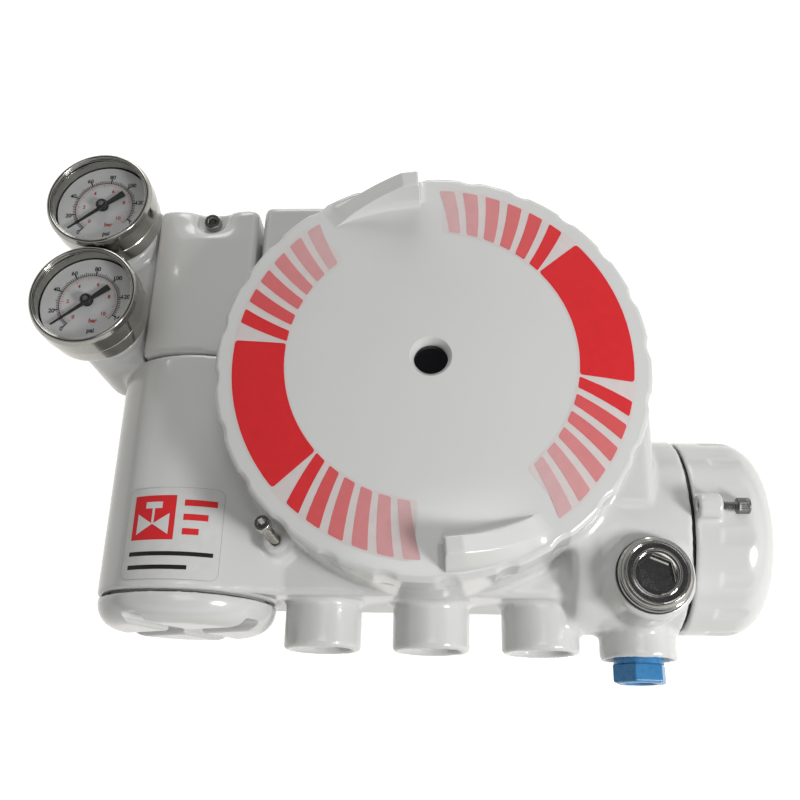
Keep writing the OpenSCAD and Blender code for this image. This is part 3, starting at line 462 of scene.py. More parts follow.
# rounds the outer edge of a disc that faces along an axis:
# what lies beyond a quarter circle goes back onto it
def roundEdge(mesh, middle, reach, end, axis, way, radius):
    spots = coordsOf(mesh) / mm
    sides = [i for i in range(3) if i != axis]
    across = spots[:, sides] - np.array(middle)[sides]
    r = np.linalg.norm(across, axis=1)
    u, w = r - reach + radius, radius - (end - spots[:, axis]) * way
    share = np.where((u > 0) & (w > 0), np.minimum(1, radius / np.maximum(np.hypot(u, w), 1e-6)), 1)
    drawn = (r - u + u * share) / np.maximum(r, 1e-6)
    spots[:, sides] = np.array(middle)[sides] + across * drawn[:, None]
    spots[:, axis] -= w * (1 - share) * way
    putBack(mesh, spots)


# valley across a cover's far end: heights over the screw's seat shrink by a bell curve round the screw
def sinkValley(mesh, screw, seat, end):
    wide, run, deep = edges["valleyWide"], edges["valleyRun"], edges["valleyDeep"]
    spots = coordsOf(mesh) / mm
    bell = np.exp(-((spots[:, 0] - screw[0]) / wide) ** 2)
    reach = smoothStep(end - run, end - run / 3, spots[:, 1])
    over = np.maximum(spots[:, 2] - seat, 0)
    spots[:, 2] -= over * deep * (bell * reach)
    putBack(mesh, spots)


# skins: a point stays on the solid up to one gap and is free from the next, in millimetres;
# a blend is a box's low and high corners, its margin and its rounds, a bore is its screw and reach
skinning = {"keepTo": 0.10, "freeFrom": 0.32, "lastRounds": 2}
castings = {
    "housing": {"voxel": 1.1, "rounds": 9, "keep": 190000,
                "blend": ((44, -96, 50), (69, -46, 84), 5, 70), "bore": ("cover_lock_screw", 3.0)},
    "spool_cover": {"voxel": 0.8, "rounds": 36, "keep": 90000},
    "terminal_cap": {"voxel": 0.8, "rounds": 8, "keep": 110000},
    "driver_cover": {"voxel": 0.7, "rounds": 8, "keep": 90000},
}
edges = {
    "driver": 9.5, "cap": 14.0, "valleyWide": 9.0, "valleyRun": 18.0, "valleyDeep": 0.85, "screwHead": 3.5,
}


def mergedCopy(node):
    merged = nodes[node].data.copy()
    work = bmesh.new()
    work.from_mesh(merged)
    bmesh.ops.remove_doubles(work, verts=work.verts, dist=dressing["weld"])
    work.to_mesh(merged)
    work.free()
    return merged


# cast skin of a solid: voxel remesh, smoothing for the fillets,
# then flats and plain curves back on the solid, by a smooth step on how far the smoothing moved them
def castSkin(node, name, how):
    merged = mergedCopy(node)
    target = bpy.data.objects.new(name + "Target", merged)
    blank = bpy.data.objects.new(name + "Blank", merged.copy())
    scene.collection.objects.link(target)
    scene.collection.objects.link(blank)
    remesh = blank.modifiers.new("remesh", "REMESH")
    remesh.mode = "VOXEL"
    remesh.voxel_size = how["voxel"] * mm
    addSmooth(blank, "smooth", how["rounds"])
    skin = bakedMesh(blank)
    wrap = blank.modifiers.new("wrap", "SHRINKWRAP")
    wrap.target = target
    wrap.wrap_method = "NEAREST_SURFACEPOINT"
    wrapped = coordsOf(bakedMesh(blank)) / mm
    soft = coordsOf(skin) / mm
    gap = np.linalg.norm(wrapped - soft, axis=1)
    hold = 1 - smoothStep(skinning["keepTo"], skinning["freeFrom"], gap)
    if "bore" in how:  # a screw's bore keeps its width
        screw, reach = boxOf(how["bore"][0])[0], how["bore"][1]
        hold[np.hypot(soft[:, 0] - screw[0], soft[:, 1] - screw[1]) < reach] = 1
    putBack(skin, soft + (wrapped - soft) * hold[:, None])
    blank.modifiers.clear()
    blank.data = skin
    addSmooth(blank, "last", skinning["lastRounds"])
    if "blend" in how:
        blendInside(blank, *how["blend"])
    triangles = 2 * len(skin.polygons)
    if triangles > how["keep"]:
        blank.modifiers.new("thin", "DECIMATE").ratio = how["keep"] / triangles
    done = bakedMesh(blank)
    done.materials.clear()
    for helper in (target, blank):
        bpy.data.objects.remove(helper)
    print("cast skin", name, triangles, "triangles before thinning")
    return done


# larger rounds and the valley that the photograph shows on three of the castings
def finishEdges(node, mesh):
    middle, half = boxOf(node)
    low, high = middle - half, middle + half
    if node == "driver_cover":
        roundEdge(mesh, middle, half[0], low[1], 1, -1, edges["driver"])
    if node == "terminal_cap":  # its lug stands out in front, so its width gives the reach
        roundEdge(mesh, (0, middle[1], low[2] + half[1]), half[1], high[0], 0, 1, edges["cap"])
    if node == "spool_cover":
        screw, long = boxOf("spool_cover_screw")
        seat = screw[2] + long[2] - edges["screwHead"]
        sinkValley(mesh, screw, seat, high[1])


for node, how in castings.items():
    title = node.replace("_c", "C") + "Casting"
    mesh = castSkin(node, title, how)
    finishEdges(node, mesh)
    addPiece(title, mesh, bodyOf[node], slotOf[node], stands=[node], angle=60)
print("castings done")


# main cover: radii and heights in millimetres, angles in degrees
cover = {
    "rim": 80.0, "rimRound": 2.5, "flange": 84.3, "rimTop": 101.0, "domeTop": 106.0, "wall": 4.5,
    "neck": 72.7, "neckWall": 4.0, "neckDrop": 9.0, "hole": 6.25, "sink": 1.5,
    "scallops": 24, "scallopWide": 8.0, "scallopDeep": 0.9, "scallopStart": 4.5,
    "gripStart": 94.0, "gripSweep": 30.0, "gripTop": 114.0, "gripFlat": 5.2, "gripFillet": 4.0,
    "gripIn": 67.2, "gripRidge": 74.0, "gripOut": 77.3, "gripBow": 0.12, "gripDip": 0.35,
    "endRun": 3.2, "endFillet": 2.2, "endLean": 0.4, "endRound": 0.9, "endFlat": 2.2,
    "eyeOut": 12.5, "eyeIn": 9.1, "eyeDrop": 7.0, "eyeLip": 2.6, "steps": 400,
}


# dome height at a radius: a sphere through the rim edge and the top
def domeHeight(r):
    edge = cover["rim"] - cover["rimRound"]
    rise = cover["domeTop"] - cover["rimTop"]
    ball = (edge ** 2 + rise ** 2) / (2 * rise)
    return cover["domeTop"] - ball + np.sqrt(ball ** 2 - r ** 2)


# columns of the cover as (angle, grip share): even steps over half a turn and its repeat,
# with a rounded steep end and a falling ramp for each grip
def coverColumns():
    c = cover
    high = c["gripTop"] - c["rimTop"]
    end = roundedLine([
        (-c["endRun"], 0, 0), (0, 0, c["endFillet"]),
        (c["endLean"], high, c["endRound"]), (c["endFlat"], high, 0),
    ], 7)
    middle = (c["gripIn"] + c["gripRidge"]) / 2
    steep = np.column_stack([c["gripStart"] + np.degrees(end[:, 0] / middle), end[:, 1] / high])
    even = np.linspace(0, 180, c["steps"], endpoint=False)
    even = even[(even < steep[0, 0] - 0.2) | (even > steep[-1, 0] + 0.2)]
    t = np.clip((even - c["gripStart"] - c["gripFlat"]) / (c["gripSweep"] - c["gripFlat"]), 0, 1)
    inGrip = (even > c["gripStart"]) & (even < c["gripStart"] + c["gripSweep"])
    fall = (1 - t) * (1 - c["gripBow"] * t) - c["gripDip"] * t * (1 - t) * smoothStep(0.75, 1, t)
    half = np.concatenate([steep, np.column_stack([even, np.where(inGrip, fall, 0)])])
    half = half[np.argsort(half[:, 0])]
    return np.concatenate([half, half + (180, 0)])


# rows across the top as (radius, grip share): dome, filleted inner wall, flat ridge, sloping outside
def coverRows():
    c = cover
    high = c["gripTop"] - c["rimTop"]
    across = roundedLine([
        (c["gripIn"] - 6.5, 0, 0), (c["gripIn"], 0, c["gripFillet"]), (c["gripIn"] + 0.5, high, 0.8),
        (c["gripRidge"], high, 0.9), (c["gripOut"], 0, 0),
    ], 7)
    rises = np.column_stack([across[:, 0], across[:, 1] / high])
    slope = np.column_stack([np.linspace(c["gripRidge"] + 0.5, c["gripOut"], 9), np.zeros(9)])
    slope[:, 1] = np.interp(slope[:, 0], rises[:, 0], rises[:, 1])
    rises = np.concatenate([rises[rises[:, 0] < slope[0, 0]], slope])
    plain = np.linspace(c["hole"] + c["sink"], c["gripIn"] - 7.0, 26)
    return np.concatenate([np.column_stack([plain, 0 * plain]), rises])


# the cover is a closed profile carried round:
# top rows are lifted to the grips, and parabolic scallops bite the skirt rows
def makeCover():
    c = cover
    inner = c["neck"] - c["neckWall"]
    low = c["flange"] - c["neckDrop"]
    topRows = coverRows()
    top = np.stack([topRows[:, 0], domeHeight(topRows[:, 0])], 1)
    rim = roundedLine([
        (c["rim"] - 2.6, c["rimTop"], 0), (c["rim"], c["rimTop"], c["rimRound"]),
        (c["rim"], c["flange"] + 5, 0), (c["rim"], c["flange"], 0.7), (c["neck"], c["flange"], 0),
    ], 10)
    neck = np.array([(c["neck"], low), (inner, low)])
    under = np.linspace(inner, c["eyeOut"], 14)
    ceiling = np.stack([under, domeHeight(under) - c["wall"] - 0.2], 1)
    seat = c["domeTop"] - c["wall"]
    foot = seat - c["eyeDrop"]
    eye = np.array([
        (c["eyeOut"], foot), (c["eyeIn"], foot), (c["eyeIn"], seat),
        (c["hole"], seat), (c["hole"], seat + c["eyeLip"]),
    ])
    profile = np.concatenate([top, rim, neck, ceiling, eye])
    share = np.concatenate([topRows[:, 1], np.zeros(len(profile) - len(top))])[None, :]

    columns = coverColumns()
    a = np.radians(columns[:, 0])[:, None]
    r, z = profile[None, :, 0], profile[None, :, 1]
    span = 2 * math.pi / c["scallops"]
    start = math.radians(c["scallopStart"])
    offset = (((a - start) / span + 0.5) % 1 - 0.5) * span * c["rim"] / (c["scallopWide"] / 2)
    bite = c["scallopDeep"] * np.clip(1 - offset ** 2, 0, 1)
    skirt = smoothStep(c["rim"] - 3.5, c["rim"] - 0.6, r) * (z > c["flange"] - 0.1)
    lift = (c["gripTop"] - z) * share * columns[:, 1][:, None]
    rr = r - bite * skirt
    points = np.stack([rr * np.cos(a), rr * np.sin(a), z + lift], -1) * mm
    mesh = gridMesh("mainCoverShell", points, closeRows=True, closeColumns=True)
    addPiece("mainCoverShell", mesh, bodyOf["main_cover"], "white_paint", stands=["main_cover"], angle=50)


makeCover()
print("main cover done")


# printed arcs on the cover: a plain block in the middle, slanted bars fading away on both sides
label = {
    "inner": 53.4, "outer": 73.0, "middle": 17.5, "half": 68.5, "block": 24.0, "blockCorner": 1.2,
    "bars": 6, "barGap": 3.4, "barWide": 4.6, "barStep": 7.2, "slant": 5.0, "raise": 0.06, "corner": 2.2,
    "border": 0.7, "near": (0.68, 0.034, 0.040), "far": (0.64, 0.40, 0.41), "fade": 1.1,
}


# rows across a printed film with how far its round corners draw the ends in
def filmRows(wide, corner):
    v = np.concatenate([np.linspace(0, corner, 7), np.linspace(corner, wide - corner, 6)[1:-1],
                        np.linspace(wide - corner, wide, 7)])
    near = np.clip(corner - np.minimum(v, wide - v), 0, corner)
    return v, corner - np.sqrt(np.maximum(corner ** 2 - near ** 2, 0))


# patch of the dome between two angles that may lean with the radius, with round corners
def domePatch(lowAngle, highAngle, inner, outer, slant, lift, ink, corner=0.6):
    v, inset = filmRows(outer - inner, corner)
    u = np.linspace(0, 1, max(6, int(abs(highAngle - lowAngle) * 1.5)))[:, None]
    r = inner + v[None, :] + 0 * u
    draw = np.degrees(inset[None, :] / r) * np.sign(highAngle - lowAngle)
    turn = lowAngle + draw + (highAngle - lowAngle - 2 * draw) * u
    a = np.radians(turn + slant * (v[None, :] / (outer - inner) - 0.5))
    points = np.stack([r * np.cos(a), r * np.sin(a), domeHeight(r) + lift], -1) * mm
    mesh = gridMesh("film", points)
    mesh.materials.append(ink)
    return mesh


def fadedInk(step):
    share = step / (label["bars"] - 1)
    near, far = np.array(label["near"]), np.array(label["far"])
    return makeInk(f"labelTint{step}", tuple(near + (far - near) * share ** label["fade"]))


def makeLabels():
    m = label
    tints = [fadedInk(i) for i in range(m["bars"])]
    inner, outer, edge, lift = m["inner"], m["outer"], m["border"], m["raise"]
    for side, turn in (("Right", 0), ("Left", 180)):
        middle = m["middle"] + turn
        low, high = middle - m["half"], middle + m["half"]
        patches = [domePatch(low, high, inner - edge, outer + edge, 0, lift, inks["film"], m["corner"])]
        low, high = middle - m["block"], middle + m["block"]
        patches.append(domePatch(low, high, inner, outer, 0, 2 * lift, inks["red"], m["blockCorner"]))
        for i in range(m["bars"]):
            reach = m["block"] + m["barGap"] + i * m["barStep"]
            for way in (-1, 1):
                near, far = middle + way * reach, middle + way * (reach + m["barWide"])
                patches.append(domePatch(near, far, inner, outer, way * m["slant"], 2 * lift, tints[i]))
        addPiece(f"coverLabel{side}", joinMeshes("label", patches), bodyOf["main_cover"], "white_paint")


makeLabels()
print("labels done")


# film on the column: a block with a valve symbol, strokes beside and below it
driverMiddle, driverHalf = boxOf("driver_cover")
sticker = {
    "axisX": driverMiddle[0], "axisZ": driverMiddle[2], "radius": driverHalf[0] + 0.5, "raise": 0.12,
    "layer": 0.05, "symbol": -12.0, "reach": 14.0, "wing": 10.5, "strokeWide": 2.4, "lineWide": 1.6,
}
# boxes as degrees from the column's top (low, high), then y in millimetres (bottom, top)
sheets = {"grey": (-31.4, 31.4, -75.7, -40.8, 3.2), "white": (-31, 31, -75.5, -41, 3)}  # last: corner
symbol = {  # wings: bottom, top and meeting point; stem and wheel: half width, bottom, top
    "block": (-61, -44), "wings": (-59, -51, -55), "stem": (0.8, -55, -49), "wheel": (5.5, -49, -46.5),
}
strokes = {"low": 7, "high": 27, "shorter": 5, "bottom": -48, "step": 5.5, "count": 3}
lines = ((-67, 27), (-72, 12))  # bottom and right end of each black line


# point on the column for an angle from its top and a y: x = axis + r sin a, z = axis + r cos a
def columnFilm(angle, y, lift, ink):
    a, r = np.radians(angle), sticker["radius"] + lift
    points = np.stack([sticker["axisX"] + r * np.sin(a), y, sticker["axisZ"] + r * np.cos(a)], -1)
    mesh = gridMesh("film", points * mm)
    mesh.materials.append(ink)
    return mesh


# four corners of (angle, y) spread evenly over the column's round face
def columnPatch(corners, lift, ink, steps=14):
    u, v = np.meshgrid(np.linspace(0, 1, steps), np.linspace(0, 1, steps), indexing="ij")
    c = np.array(corners, float)
    spot = (c[0] * ((1 - u) * (1 - v))[..., None] + c[1] * (u * (1 - v))[..., None]
            + c[2] * (u * v)[..., None] + c[3] * ((1 - u) * v)[..., None])
    return columnFilm(spot[..., 0], spot[..., 1], lift, ink)


# sheet with round corners on the column's round face
def columnSheet(low, high, bottom, top, corner, lift, ink):
    v, inset = filmRows(top - bottom, corner)
    draw = np.degrees(inset / sticker["radius"])[None, :]
    angle = low + draw + (high - low - 2 * draw) * np.linspace(0, 1, 40)[:, None]
    return columnFilm(angle, bottom + v[None, :] + 0 * angle, lift, ink)


def boxCorners(low, high, bottom, top):
    return [(low, bottom), (high, bottom), (high, top), (low, top)]


def makeSticker():
    edge, base, first, second = (sticker["raise"] + sticker["layer"] * i for i in range(4))
    middle, reach = sticker["symbol"], sticker["reach"]
    patches = [columnSheet(*sheets["grey"], edge, inks["grey"]),
               columnSheet(*sheets["white"], base, inks["white"])]

    def block(low, high, bottom, top, lift, ink, steps=14):
        patches.append(columnPatch(boxCorners(low, high, bottom, top), lift, inks[ink], steps))

    block(middle - reach, middle + reach, *symbol["block"], first, "red")
    bottom, top, tip = symbol["wings"]
    for way in (-1, 1):  # two triangles meeting at the symbol's middle
        wing = middle + way * sticker["wing"]
        corners = [(wing, bottom), (wing, top), (middle, tip), (middle, tip)]
        patches.append(columnPatch(corners, second, inks["white"]))
    for half, bottom, top in (symbol["stem"], symbol["wheel"]):
        block(middle - half, middle + half, bottom, top, second, "white")
    for i in range(strokes["count"]):
        bottom = strokes["bottom"] - strokes["step"] * i
        high = strokes["high"] - strokes["shorter"] * i
        block(strokes["low"], high, bottom, bottom + sticker["strokeWide"], first, "red")
    for bottom, high in lines:
        block(middle - reach, high, bottom, bottom + sticker["lineWide"], first, "black", 20)
    addPiece("columnFilm", joinMeshes("columnFilm", patches), bodyOf["housing"], "white_paint")


makeSticker()
print("column film done")


# screws: axis towards the head, radii and heights in millimetres
screws = {
    "coverLockScrew": {"node": "cover_lock_screw", "axis": (0, 0, 1), "shank": 1.8, "head": 2.9,
                       "high": 4.5, "socket": 1.3, "pitch": 0.7},
    "capLockScrew": {"node": "cap_lock_screw", "axis": (1, 0, 0), "shank": 1.5, "head": 2.9,
                     "high": 4.5, "socket": 1.3, "pitch": 1.0, "finish": "dark_steel"},
    "spoolCoverScrew": {"node": "spool_cover_screw", "axis": (0, 0, 1), "shank": 2.0, "head": 3.6,
                        "high": 3.5, "socket": 1.6, "pitch": 0.7},
}
screwShape = {"floor": 0.3, "chamfer": 0.25, "point": 0.6, "knurls": 26, "perPitch": 8, "around": 96}


# socket screw carried round its axis: hexagon socket, knurled head, threaded shank with a point
def makeScrew(name, how):
    node, head, high, socket, shank = (how[key] for key in ("node", "head", "high", "socket", "shank"))
    middle, half = boxOf(node)
    axis = np.array(how["axis"])
    place = middle + axis * (half - high)
    long = 2 * half @ axis - high
    shape = screwShape
    floor, chamfer, point = high * shape["floor"], shape["chamfer"], shape["point"]
    thread = np.linspace(-0.05, -long + point, int(long / how["pitch"] * shape["perPitch"]))
    profile = np.concatenate([
        ofKind([(0, floor)], "round"),
        ofKind([(socket, floor), (socket, high - chamfer), (socket + chamfer, high)], "hexagon"),
        roundedRows([(socket + 0.7, high, 0), (head, high, 0.45), (head, high - 0.8, 0)]),
        ofKind([(head, h) for h in np.linspace(high - 0.9, 0.5, 5)], "knurl"),
        roundedRows([(head, 0.4, 0), (head, 0, 0.2), (shank, 0, 0)], steps=3),
        ofKind([(shank, h) for h in thread], "thread"),
        ofKind([(shank - point, -long), (0, -long)], "round"),
    ])
    mesh = turned(name, profile, place, how["axis"], shape["around"], 0, shape["knurls"], how["pitch"])
    finish = finishes[how.get("finish", slotOf[node])]
    addPiece(name, mesh, bodyOf[node], slotOf[node], finish, [node], 40)


for name, how in screws.items():
    makeScrew(name, how)
print("screws done")


# plugs: heights from the face of the boss, in millimetres; rows are (radius, height, edge round)
steelPlug = {
    "top": 6.5, "thread": 10.35, "deep": 6.5, "pitch": 1.4, "start": 1.0, "turns": 30, "lead": 1.2,
    "spin": 8.0, "flangeLow": 1.2, "floor": 1.6,
    "socket": [(5.6, 1.5), (5.7, 2.2), (5.8, 4.3), (6.0, 4.5)],
    "crown": [
        (7.1, 4.5, 0), (7.5, 4.6, 0.2), (7.6, 6.0, 0.3), (7.9, 6.3, 0.2), (8.3, 6.3, 0.3),
        (8.5, 5.9, 0.3), (10.6, 5.9, 0.3), (10.9, 6.5, 0.3), (11.3, 6.5, 0.4), (12.3, 5.2, 0.6),
        (12.3, 3.6, 0.4), (13.3, 3.1, 0.5), (13.3, 1.2, 0.3),
    ],
}
plasticPlug = {
    "top": 8.5, "thread": 10.35, "deep": 10.0, "collar": 9.4, "mouth": 2.5, "corner": 10.5, "spin": 18.6,
    "floor": 4.25, "bore": 7.9, "boreEnd": 1.0, "shoulder": 1.45,
}


# conduit plug: hexagon socket, stepped crown and flange, then its thread
def makeSteelPlug():
    plug = steelPlug
    thread, deep = plug["thread"], plug["deep"]
    profile = np.concatenate([
        ofKind([(0, plug["floor"])], "round"),
        ofKind(plug["socket"], "hexagon"),
        roundedRows([*plug["crown"], (thread, plug["flangeLow"], 0)], steps=5),
        ofKind([(thread, h) for h in np.linspace(plug["start"], -deep, plug["turns"])], "thread"),
        ofKind([(thread - plug["lead"], -deep), (0, -deep)], "round"),
    ])
    middle, half = boxOf("conduit_plug")
    place = middle + (0, 0, half[2] - plug["top"])
    mesh = turned("conduitPlug", profile, place, (0, 0, 1), 128, plug["spin"], pitch=plug["pitch"])
    # the plug's steel is darkened as a painted dark reflection
    addPiece("conduitPlug", mesh, bodyOf["conduit_plug"], slotOf["conduit_plug"], finishes["dark_reflection_steel"],
             ["conduit_plug"], 40)


# hexagon plug: hollow head with broken edges, then a round collar and its hollow threaded end
def makePlasticPlug():
    plug = plasticPlug
    collar, top, deep, mouth, thread = (plug[key] for key in ("collar", "top", "deep", "mouth", "thread"))
    flats = plug["corner"] * math.cos(math.pi / 6)
    profile = np.concatenate([
        ofKind([(0, plug["floor"])], "round"),
        roundedRows([
            (5.9, plug["floor"], 0), (6.0, top - 0.5, 0.2), (6.4, top, 0.3), (7.0, top, 0),
        ], steps=4),
        roundedRows([
            (flats - 1.3, top, 0), (flats - 0.2, top - 0.4, 0.4), (flats, top - 1, 0.3),
            (flats, 2.0, 0.3), (flats - 0.4, 1.5, 0),
        ], "hexagon", 4),
        roundedRows([
            (collar, plug["shoulder"], 0), (collar, -mouth, 0), (thread, -mouth, 0), (thread, -deep, 0),
        ], steps=4),
        ofKind([(plug["bore"], -deep), (plug["bore"], -plug["boreEnd"]), (0, -plug["boreEnd"])], "round"),
    ])
    middle, half = boxOf("shipping_plug")
    place = middle + (0, top - half[1], 0)
    mesh = turned("hexagonPlug", profile, place, (0, -1, 0), 144, plug["spin"])
    addPiece("hexagonPlug", mesh, bodyOf["shipping_plug"], slotOf["shipping_plug"],
             stands=["shipping_plug"], angle=24)


makeSteelPlug()
makePlasticPlug()
print("plugs done")


# gauges: sizes in millimetres, angles in degrees; both scales start at zero and run clockwise
gauge = {
    "front": 100.0, "back": 80.0, "bezelHigh": 10.0, "lap": 0.9, "neck": 6.1, "wall": 1.0,
    "dialTop": 92.66, "zero": 232.0, "line": 11.7, "perPsi": 1.862, "perBar": 27.0,
    "psiStep": 2, "psiEnd": 140, "barEnd": 10, "lineHalf": 0.12, "linePiece": 0.62,
    "pointer": 218.0, "pointerTop": 94.3, "pointerLow": 93.5, "tip": 16.8, "tail": 10.0,
}
blackTicks = {"tenth": (2.1, 0.55), "fifth": (1.6, 0.34), "other": (1.2, 0.34)}  # length and width
redTicks = {"fifth": 1.8, "other": 1.2, "gap": 0.3, "wide": 0.2}  # reach and gap inside the line
pointerShape = {  # half width at each place along the needle, from its tail
    "along": (0, 0.1, 6.0, 8.0, 12.0), "half": (1.15, 1.2, 0.85, 0.7, 0.6),
    "tipRun": 0.2, "tipHalf": (0.16, 0.05),
    "hub": [
        (0, 95.7, 0), (1.3, 95.7, 0.1), (1.5, 96.2, 0.2), (2.2, 96.1, 0.4), (2.4, 95.5, 0.3),
        (2.4, 94.7, 0.3), (1.7, 94.5, 0.2), (1.7, 93.6, 0.2), (2.2, 93.5, 0.1), (2.2, 93.2, 0.1),
        (0, 93.2, 0),
    ],
    "pin": [(0, 96.19, 0), (1.1, 96.19, 0), (1.1, 95.6, 0), (0, 95.6, 0)],
}
figures = {"bold": 0.03, "psi": 2.5, "bar": 2.2, "psiOut": 3.0, "barIn": 3.4}  # text sizes and places
units = {"bar": (2.5, 8.6, 290, "scaleRed"), "psi": (2.7, 12.6, 282, "black")}  # size, radius, angle, ink


def textMesh(body, size, place, height, ink):
    curve = bpy.data.curves.new("figure", "FONT")
    curve.body = body
    curve.size = size * mm
    curve.offset = figures["bold"] * size * mm
    curve.align_x = "CENTER"
    curve.align_y = "CENTER"
    holder = bpy.data.objects.new("figure", curve)
    scene.collection.objects.link(holder)
    mesh = bakedMesh(holder)
    bpy.data.objects.remove(holder)
    mesh.transform(Matrix.Translation(Vector((*place, height)) * mm))
    mesh.materials.clear()
    mesh.materials.append(ink)
    return mesh


# flat strokes from the middle of the dial: rows of (angle, inner, outer, width)
def strokeMesh(rows, place, height, ink):
    rows = np.array(rows, float)
    a = np.radians(rows[:, 0])[:, None]
    r = rows[:, [1, 2, 2, 1]]
    w = rows[:, [3, 3, 3, 3]] / 2 * np.array([-1, -1, 1, 1])
    x = place[0] + r * np.cos(a) - w * np.sin(a)
    y = place[1] + r * np.sin(a) + w * np.cos(a)
    points = np.stack([x, y, np.full_like(x, height)], -1).reshape(-1, 3) * mm
    mesh = bpy.data.meshes.new("strokes")
    mesh.from_pydata(points.tolist(), [], np.arange(len(points)).reshape(-1, 4).tolist())
    mesh.materials.append(ink)
    return mesh


def spotOn(place, r, turn):
    return place[0] + r * math.cos(math.radians(turn)), place[1] + r * math.sin(math.radians(turn))


# case and bezel carried round: a cup with a groove below the bezel, and a ring with a rolled lip
def makeCase(tag, place, rim):
    g = gauge
    case, neck, back, front = rim - g["lap"], g["neck"], g["back"], g["front"]
    inside, floor, fold = case - g["wall"], back + g["wall"], front - g["bezelHigh"]
    shell = roundedLine([
        (neck, back, 0), (case, back, 2.6), (case, fold - 1.5, 0.4), (case - 0.35, fold - 1.1, 0.3),
        (case - 0.35, fold - 0.4, 0.3), (case, fold, 0.3), (case, front - 3.1, 0),
        (inside, front - 3.1, 0.2), (inside, floor, 1.6), (neck, floor, 0), (neck, back, 0),
    ])
    node = f"{tag}_gauge_case"
    mesh = turned("case", shell, place, count=128)
    addPiece(f"{tag}GaugeCase", mesh, bodyOf[node], "stainless", stands=[node])
    skirt, lip = case + 0.05, rim - 2.8
    ring = roundedLine([
        (skirt, fold, 0), (rim, fold, 0.6), (rim, front - 2.2, 1.2), (rim - 0.9, front, 0.8),
        (rim - 1.9, front, 0.6), (rim - 2.3, front - 0.8, 0.3), (lip, front - 0.9, 0.2),
        (lip, front - 1.4, 0), (skirt, front - 1.4, 0), (skirt, fold, 0),
    ], 8)
    node = f"{tag}_gauge_bezel"
    mesh = turned("bezel", ring, place, count=160)
    addPiece(f"{tag}GaugeBezel", mesh, bodyOf[node], "stainless", finishes["bezel"], [node])


# black scale outside the line, red one inside it; every fifth and tenth stroke is longer
def makeDial(tag, place):
    g = gauge
    height, line, zero = g["dialTop"], g["line"], g["zero"]
    black = []
    for i in range(g["psiEnd"] // g["psiStep"] + 1):
        long, wide = blackTicks["tenth" if i % 10 == 0 else "fifth" if i % 5 == 0 else "other"]
        black.append((zero - g["perPsi"] * g["psiStep"] * i, line, line + long, wide))
    red = []
    for i in range(5 * g["barEnd"] + 1):
        reach = redTicks["fifth" if i % 5 == 0 else "other"]
        red.append((zero - g["perBar"] * 0.2 * i, line - reach, line - redTicks["gap"], redTicks["wide"]))
    arc = [(zero - g["perBar"] * 0.1 * i, line - g["lineHalf"], line + g["lineHalf"], g["linePiece"])
           for i in range(10 * g["barEnd"] + 1)]
    prints = [strokeMesh(black, place, height, inks["black"]),
              strokeMesh(red, place, height, inks["scaleRed"]),
              strokeMesh(arc, place, height - 0.01, inks["black"])]
    for psi in range(0, g["psiEnd"] + 1, 20):
        spot = spotOn(place, line + figures["psiOut"], zero - g["perPsi"] * psi)
        prints.append(textMesh(str(psi), figures["psi"], spot, height, inks["black"]))
    for bar in range(0, g["barEnd"] + 1, 2):
        spot = spotOn(place, line - figures["barIn"], zero - g["perBar"] * bar)
        prints.append(textMesh(str(bar), figures["bar"], spot, height, inks["scaleRed"]))
    for unit, (size, r, turn, ink) in units.items():
        prints.append(textMesh(unit, size, spotOn(place, r, turn), height, inks[ink]))
    mesh = joinMeshes("dialPrint", prints)
    addPiece(f"{tag}GaugePrint", mesh, bodyOf[f"{tag}_gauge_dial"], "dial_white")


# needle: half width follows its length, a broad bar behind the hub and a thin tip before it
def makePointer(tag, place):
    g = gauge
    shape, tip, tail = pointerShape, g["tip"], g["tail"]
    along = np.array([*(spot - tail for spot in shape["along"]), tip - shape["tipRun"], tip])
    half = np.array([*shape["half"], *shape["tipHalf"]])
    low, high = g["pointerLow"], g["pointerTop"]
    sides = np.stack([-half, half, half, -half], 1)
    heights = np.broadcast_to(np.array([low, low, high, high]), sides.shape)
    a = math.radians(g["pointer"])
    x = place[0] + along[:, None] * math.cos(a) - sides * math.sin(a)
    y = place[1] + along[:, None] * math.sin(a) + sides * math.cos(a)
    strip = np.stack([x, y, heights], -1)
    strip = np.concatenate([strip[:1].mean(1, keepdims=True).repeat(4, 1), strip,
                            strip[-1:].mean(1, keepdims=True).repeat(4, 1)])
    needle = gridMesh("needle", strip * mm, closeColumns=True)
    hub = turned("hub", roundedRows(shape["hub"]), place, count=48)
    pin = turned("pin", roundedRows(shape["pin"]), place, count=32)
    node = f"{tag}_gauge_pointer"
    for made, finish in ((needle, slotOf[node]), (hub, slotOf[node]), (pin, "zinc")):
        made.materials.append(finishes[finish])
    mesh = joinMeshes("needle", [needle, hub, pin])
    addPiece(f"{tag}GaugeNeedle", mesh, bodyOf[node], slotOf[node], stands=[node])


for tag in ("lower", "upper"):
    middle, half = boxOf(f"{tag}_gauge_bezel")
    place = (middle[0], middle[1], 0)
    makeCase(tag, place, half[0])
    makeDial(tag, place)
    makePointer(tag, place)
print("gauges done")


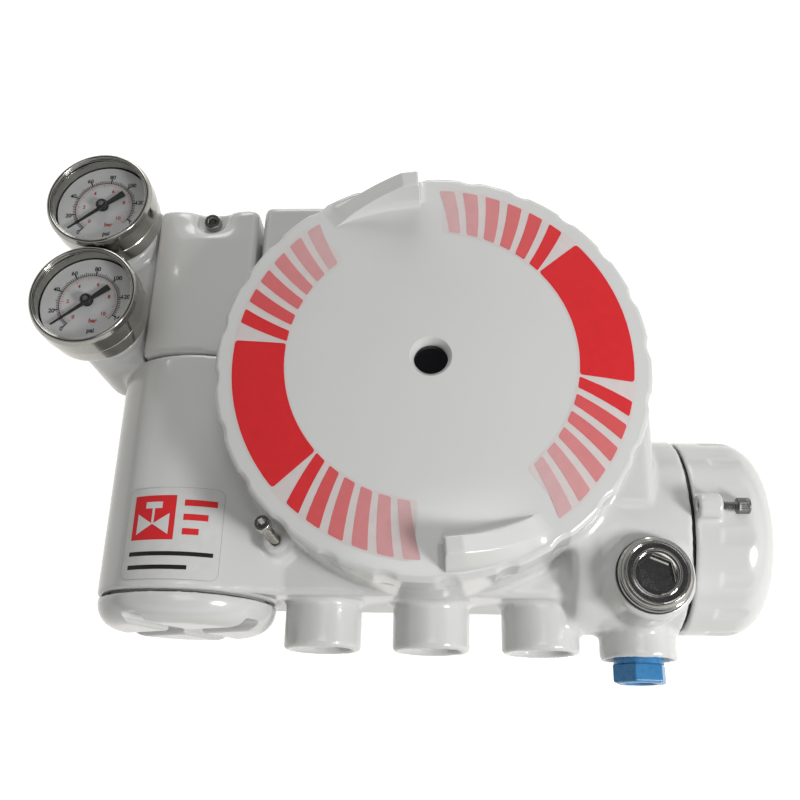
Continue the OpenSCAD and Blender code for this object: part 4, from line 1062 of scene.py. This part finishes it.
# stage: floor and lamps in metres, the floor's drop below the part in millimetres, power in watts;
# mirror stops are (height, colour) of what metal sees of the walls and the ceiling
stage = {
    "drop": 2.0, "size": 3.0, "paper": (0.42, 0.405, 0.37), "glow": 0.84, "sky": (0.25, 0.246, 0.232),
    "mirror": [
        (0.06, (0.20, 0.195, 0.18)), (0.28, (1, 1, 1)), (0.52, (1, 1, 1)), (0.70, (0.10, 0.10, 0.11)),
    ],
    "patchScale": 1.6, "patchShare": 0.3,
}
lamps = {
    "keyLamp": {"place": (0.62, -0.40, 0.55), "power": 5.2, "wide": 0.22},
    "topLamp": {"place": (0.05, -0.2, 1.2), "power": 1.9, "wide": 0.5},
    "backLamp": {"place": (-0.05, 1.05, 0.45), "power": 5.0, "wide": 0.6},
}


# one where a ray of any of these kinds arrives, and nought for the light that falls on the object
def raysOf(finish, *rays):
    paths = finish.tree.nodes.new("ShaderNodeLightPath")
    seen, *others = (Tone(finish, paths.outputs[f"Is {ray} Ray"]) for ray in rays)
    for other in others:
        seen = seen.math("MAXIMUM", other)
    return seen


def makeFloor():
    size, low = stage["size"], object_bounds()[0][2] - stage["drop"] * mm
    mesh = bpy.data.meshes.new("floor")
    corners = [(-size, -size, low), (size, -size, low), (size, size, low), (-size, size, low)]
    mesh.from_pydata(corners, [], [(0, 1, 2, 3)])
    floor = bpy.data.objects.new("floor", mesh)
    scene.collection.objects.link(floor)
    paper = Finish("floorPaper", color=(*stage["paper"], 1), roughness=0.9)
    bare = Tone(paper, paper.shader.outputs[0])
    glow = paper.node("ShaderNodeEmission", inputs={"Color": (1, 1, 1, 1), "Strength": stage["glow"]})
    lit = paper.node("ShaderNodeAddShader", inputs={0: bare, 1: glow})
    seen = raysOf(paper, "Camera", "Glossy", "Transmission")
    mixed = paper.node("ShaderNodeMixShader", inputs={0: seen, 1: bare, 2: lit})
    paper.feed(paper.tree.nodes["Material Output"].inputs["Surface"], mixed)
    mesh.materials.append(paper.material)


# the room: white for the camera and through glass, and for mirrors white walls under a dark ceiling
def makeRoom():
    world = bpy.data.worlds.new("studio")
    world.use_nodes = True
    scene.world = world
    room = Finish.__new__(Finish)
    room.tree = world.node_tree
    height = room.node("ShaderNodeSeparateXYZ", inputs={0: room.node("ShaderNodeTexCoord")}, output=2)
    patchy = room.node("ShaderNodeTexNoise", inputs={
        "Vector": room.node("ShaderNodeTexCoord"), "Scale": stage["patchScale"], "Detail": 1.0})
    mirror = room.ramp(height + (patchy - 0.5) * stage["patchShare"], *stage["mirror"])
    seen, shiny = raysOf(room, "Camera", "Transmission"), raysOf(room, "Glossy")
    plain = room.node("ShaderNodeMix", {"data_type": "RGBA"}, {
        0: seen, 6: (*stage["sky"], 1), 7: (1, 1, 1, 1)}, 2)
    color = room.node("ShaderNodeMix", {"data_type": "RGBA"}, {0: shiny, 6: plain, 7: mirror}, 2)
    room.feed(room.tree.nodes["Background"].inputs["Color"], color)


def makeLamps():
    for name, how in lamps.items():
        data = bpy.data.lights.new(name, "AREA")
        data.energy = how["power"]
        data.size = how["wide"]
        lamp = bpy.data.objects.new(name, data)
        lamp.location = how["place"]
        lamp.rotation_euler = (-Vector(how["place"])).to_track_quat("-Z", "Y").to_euler()
        scene.collection.objects.link(lamp)


makeFloor()
makeRoom()
makeLamps()
print("stage done")
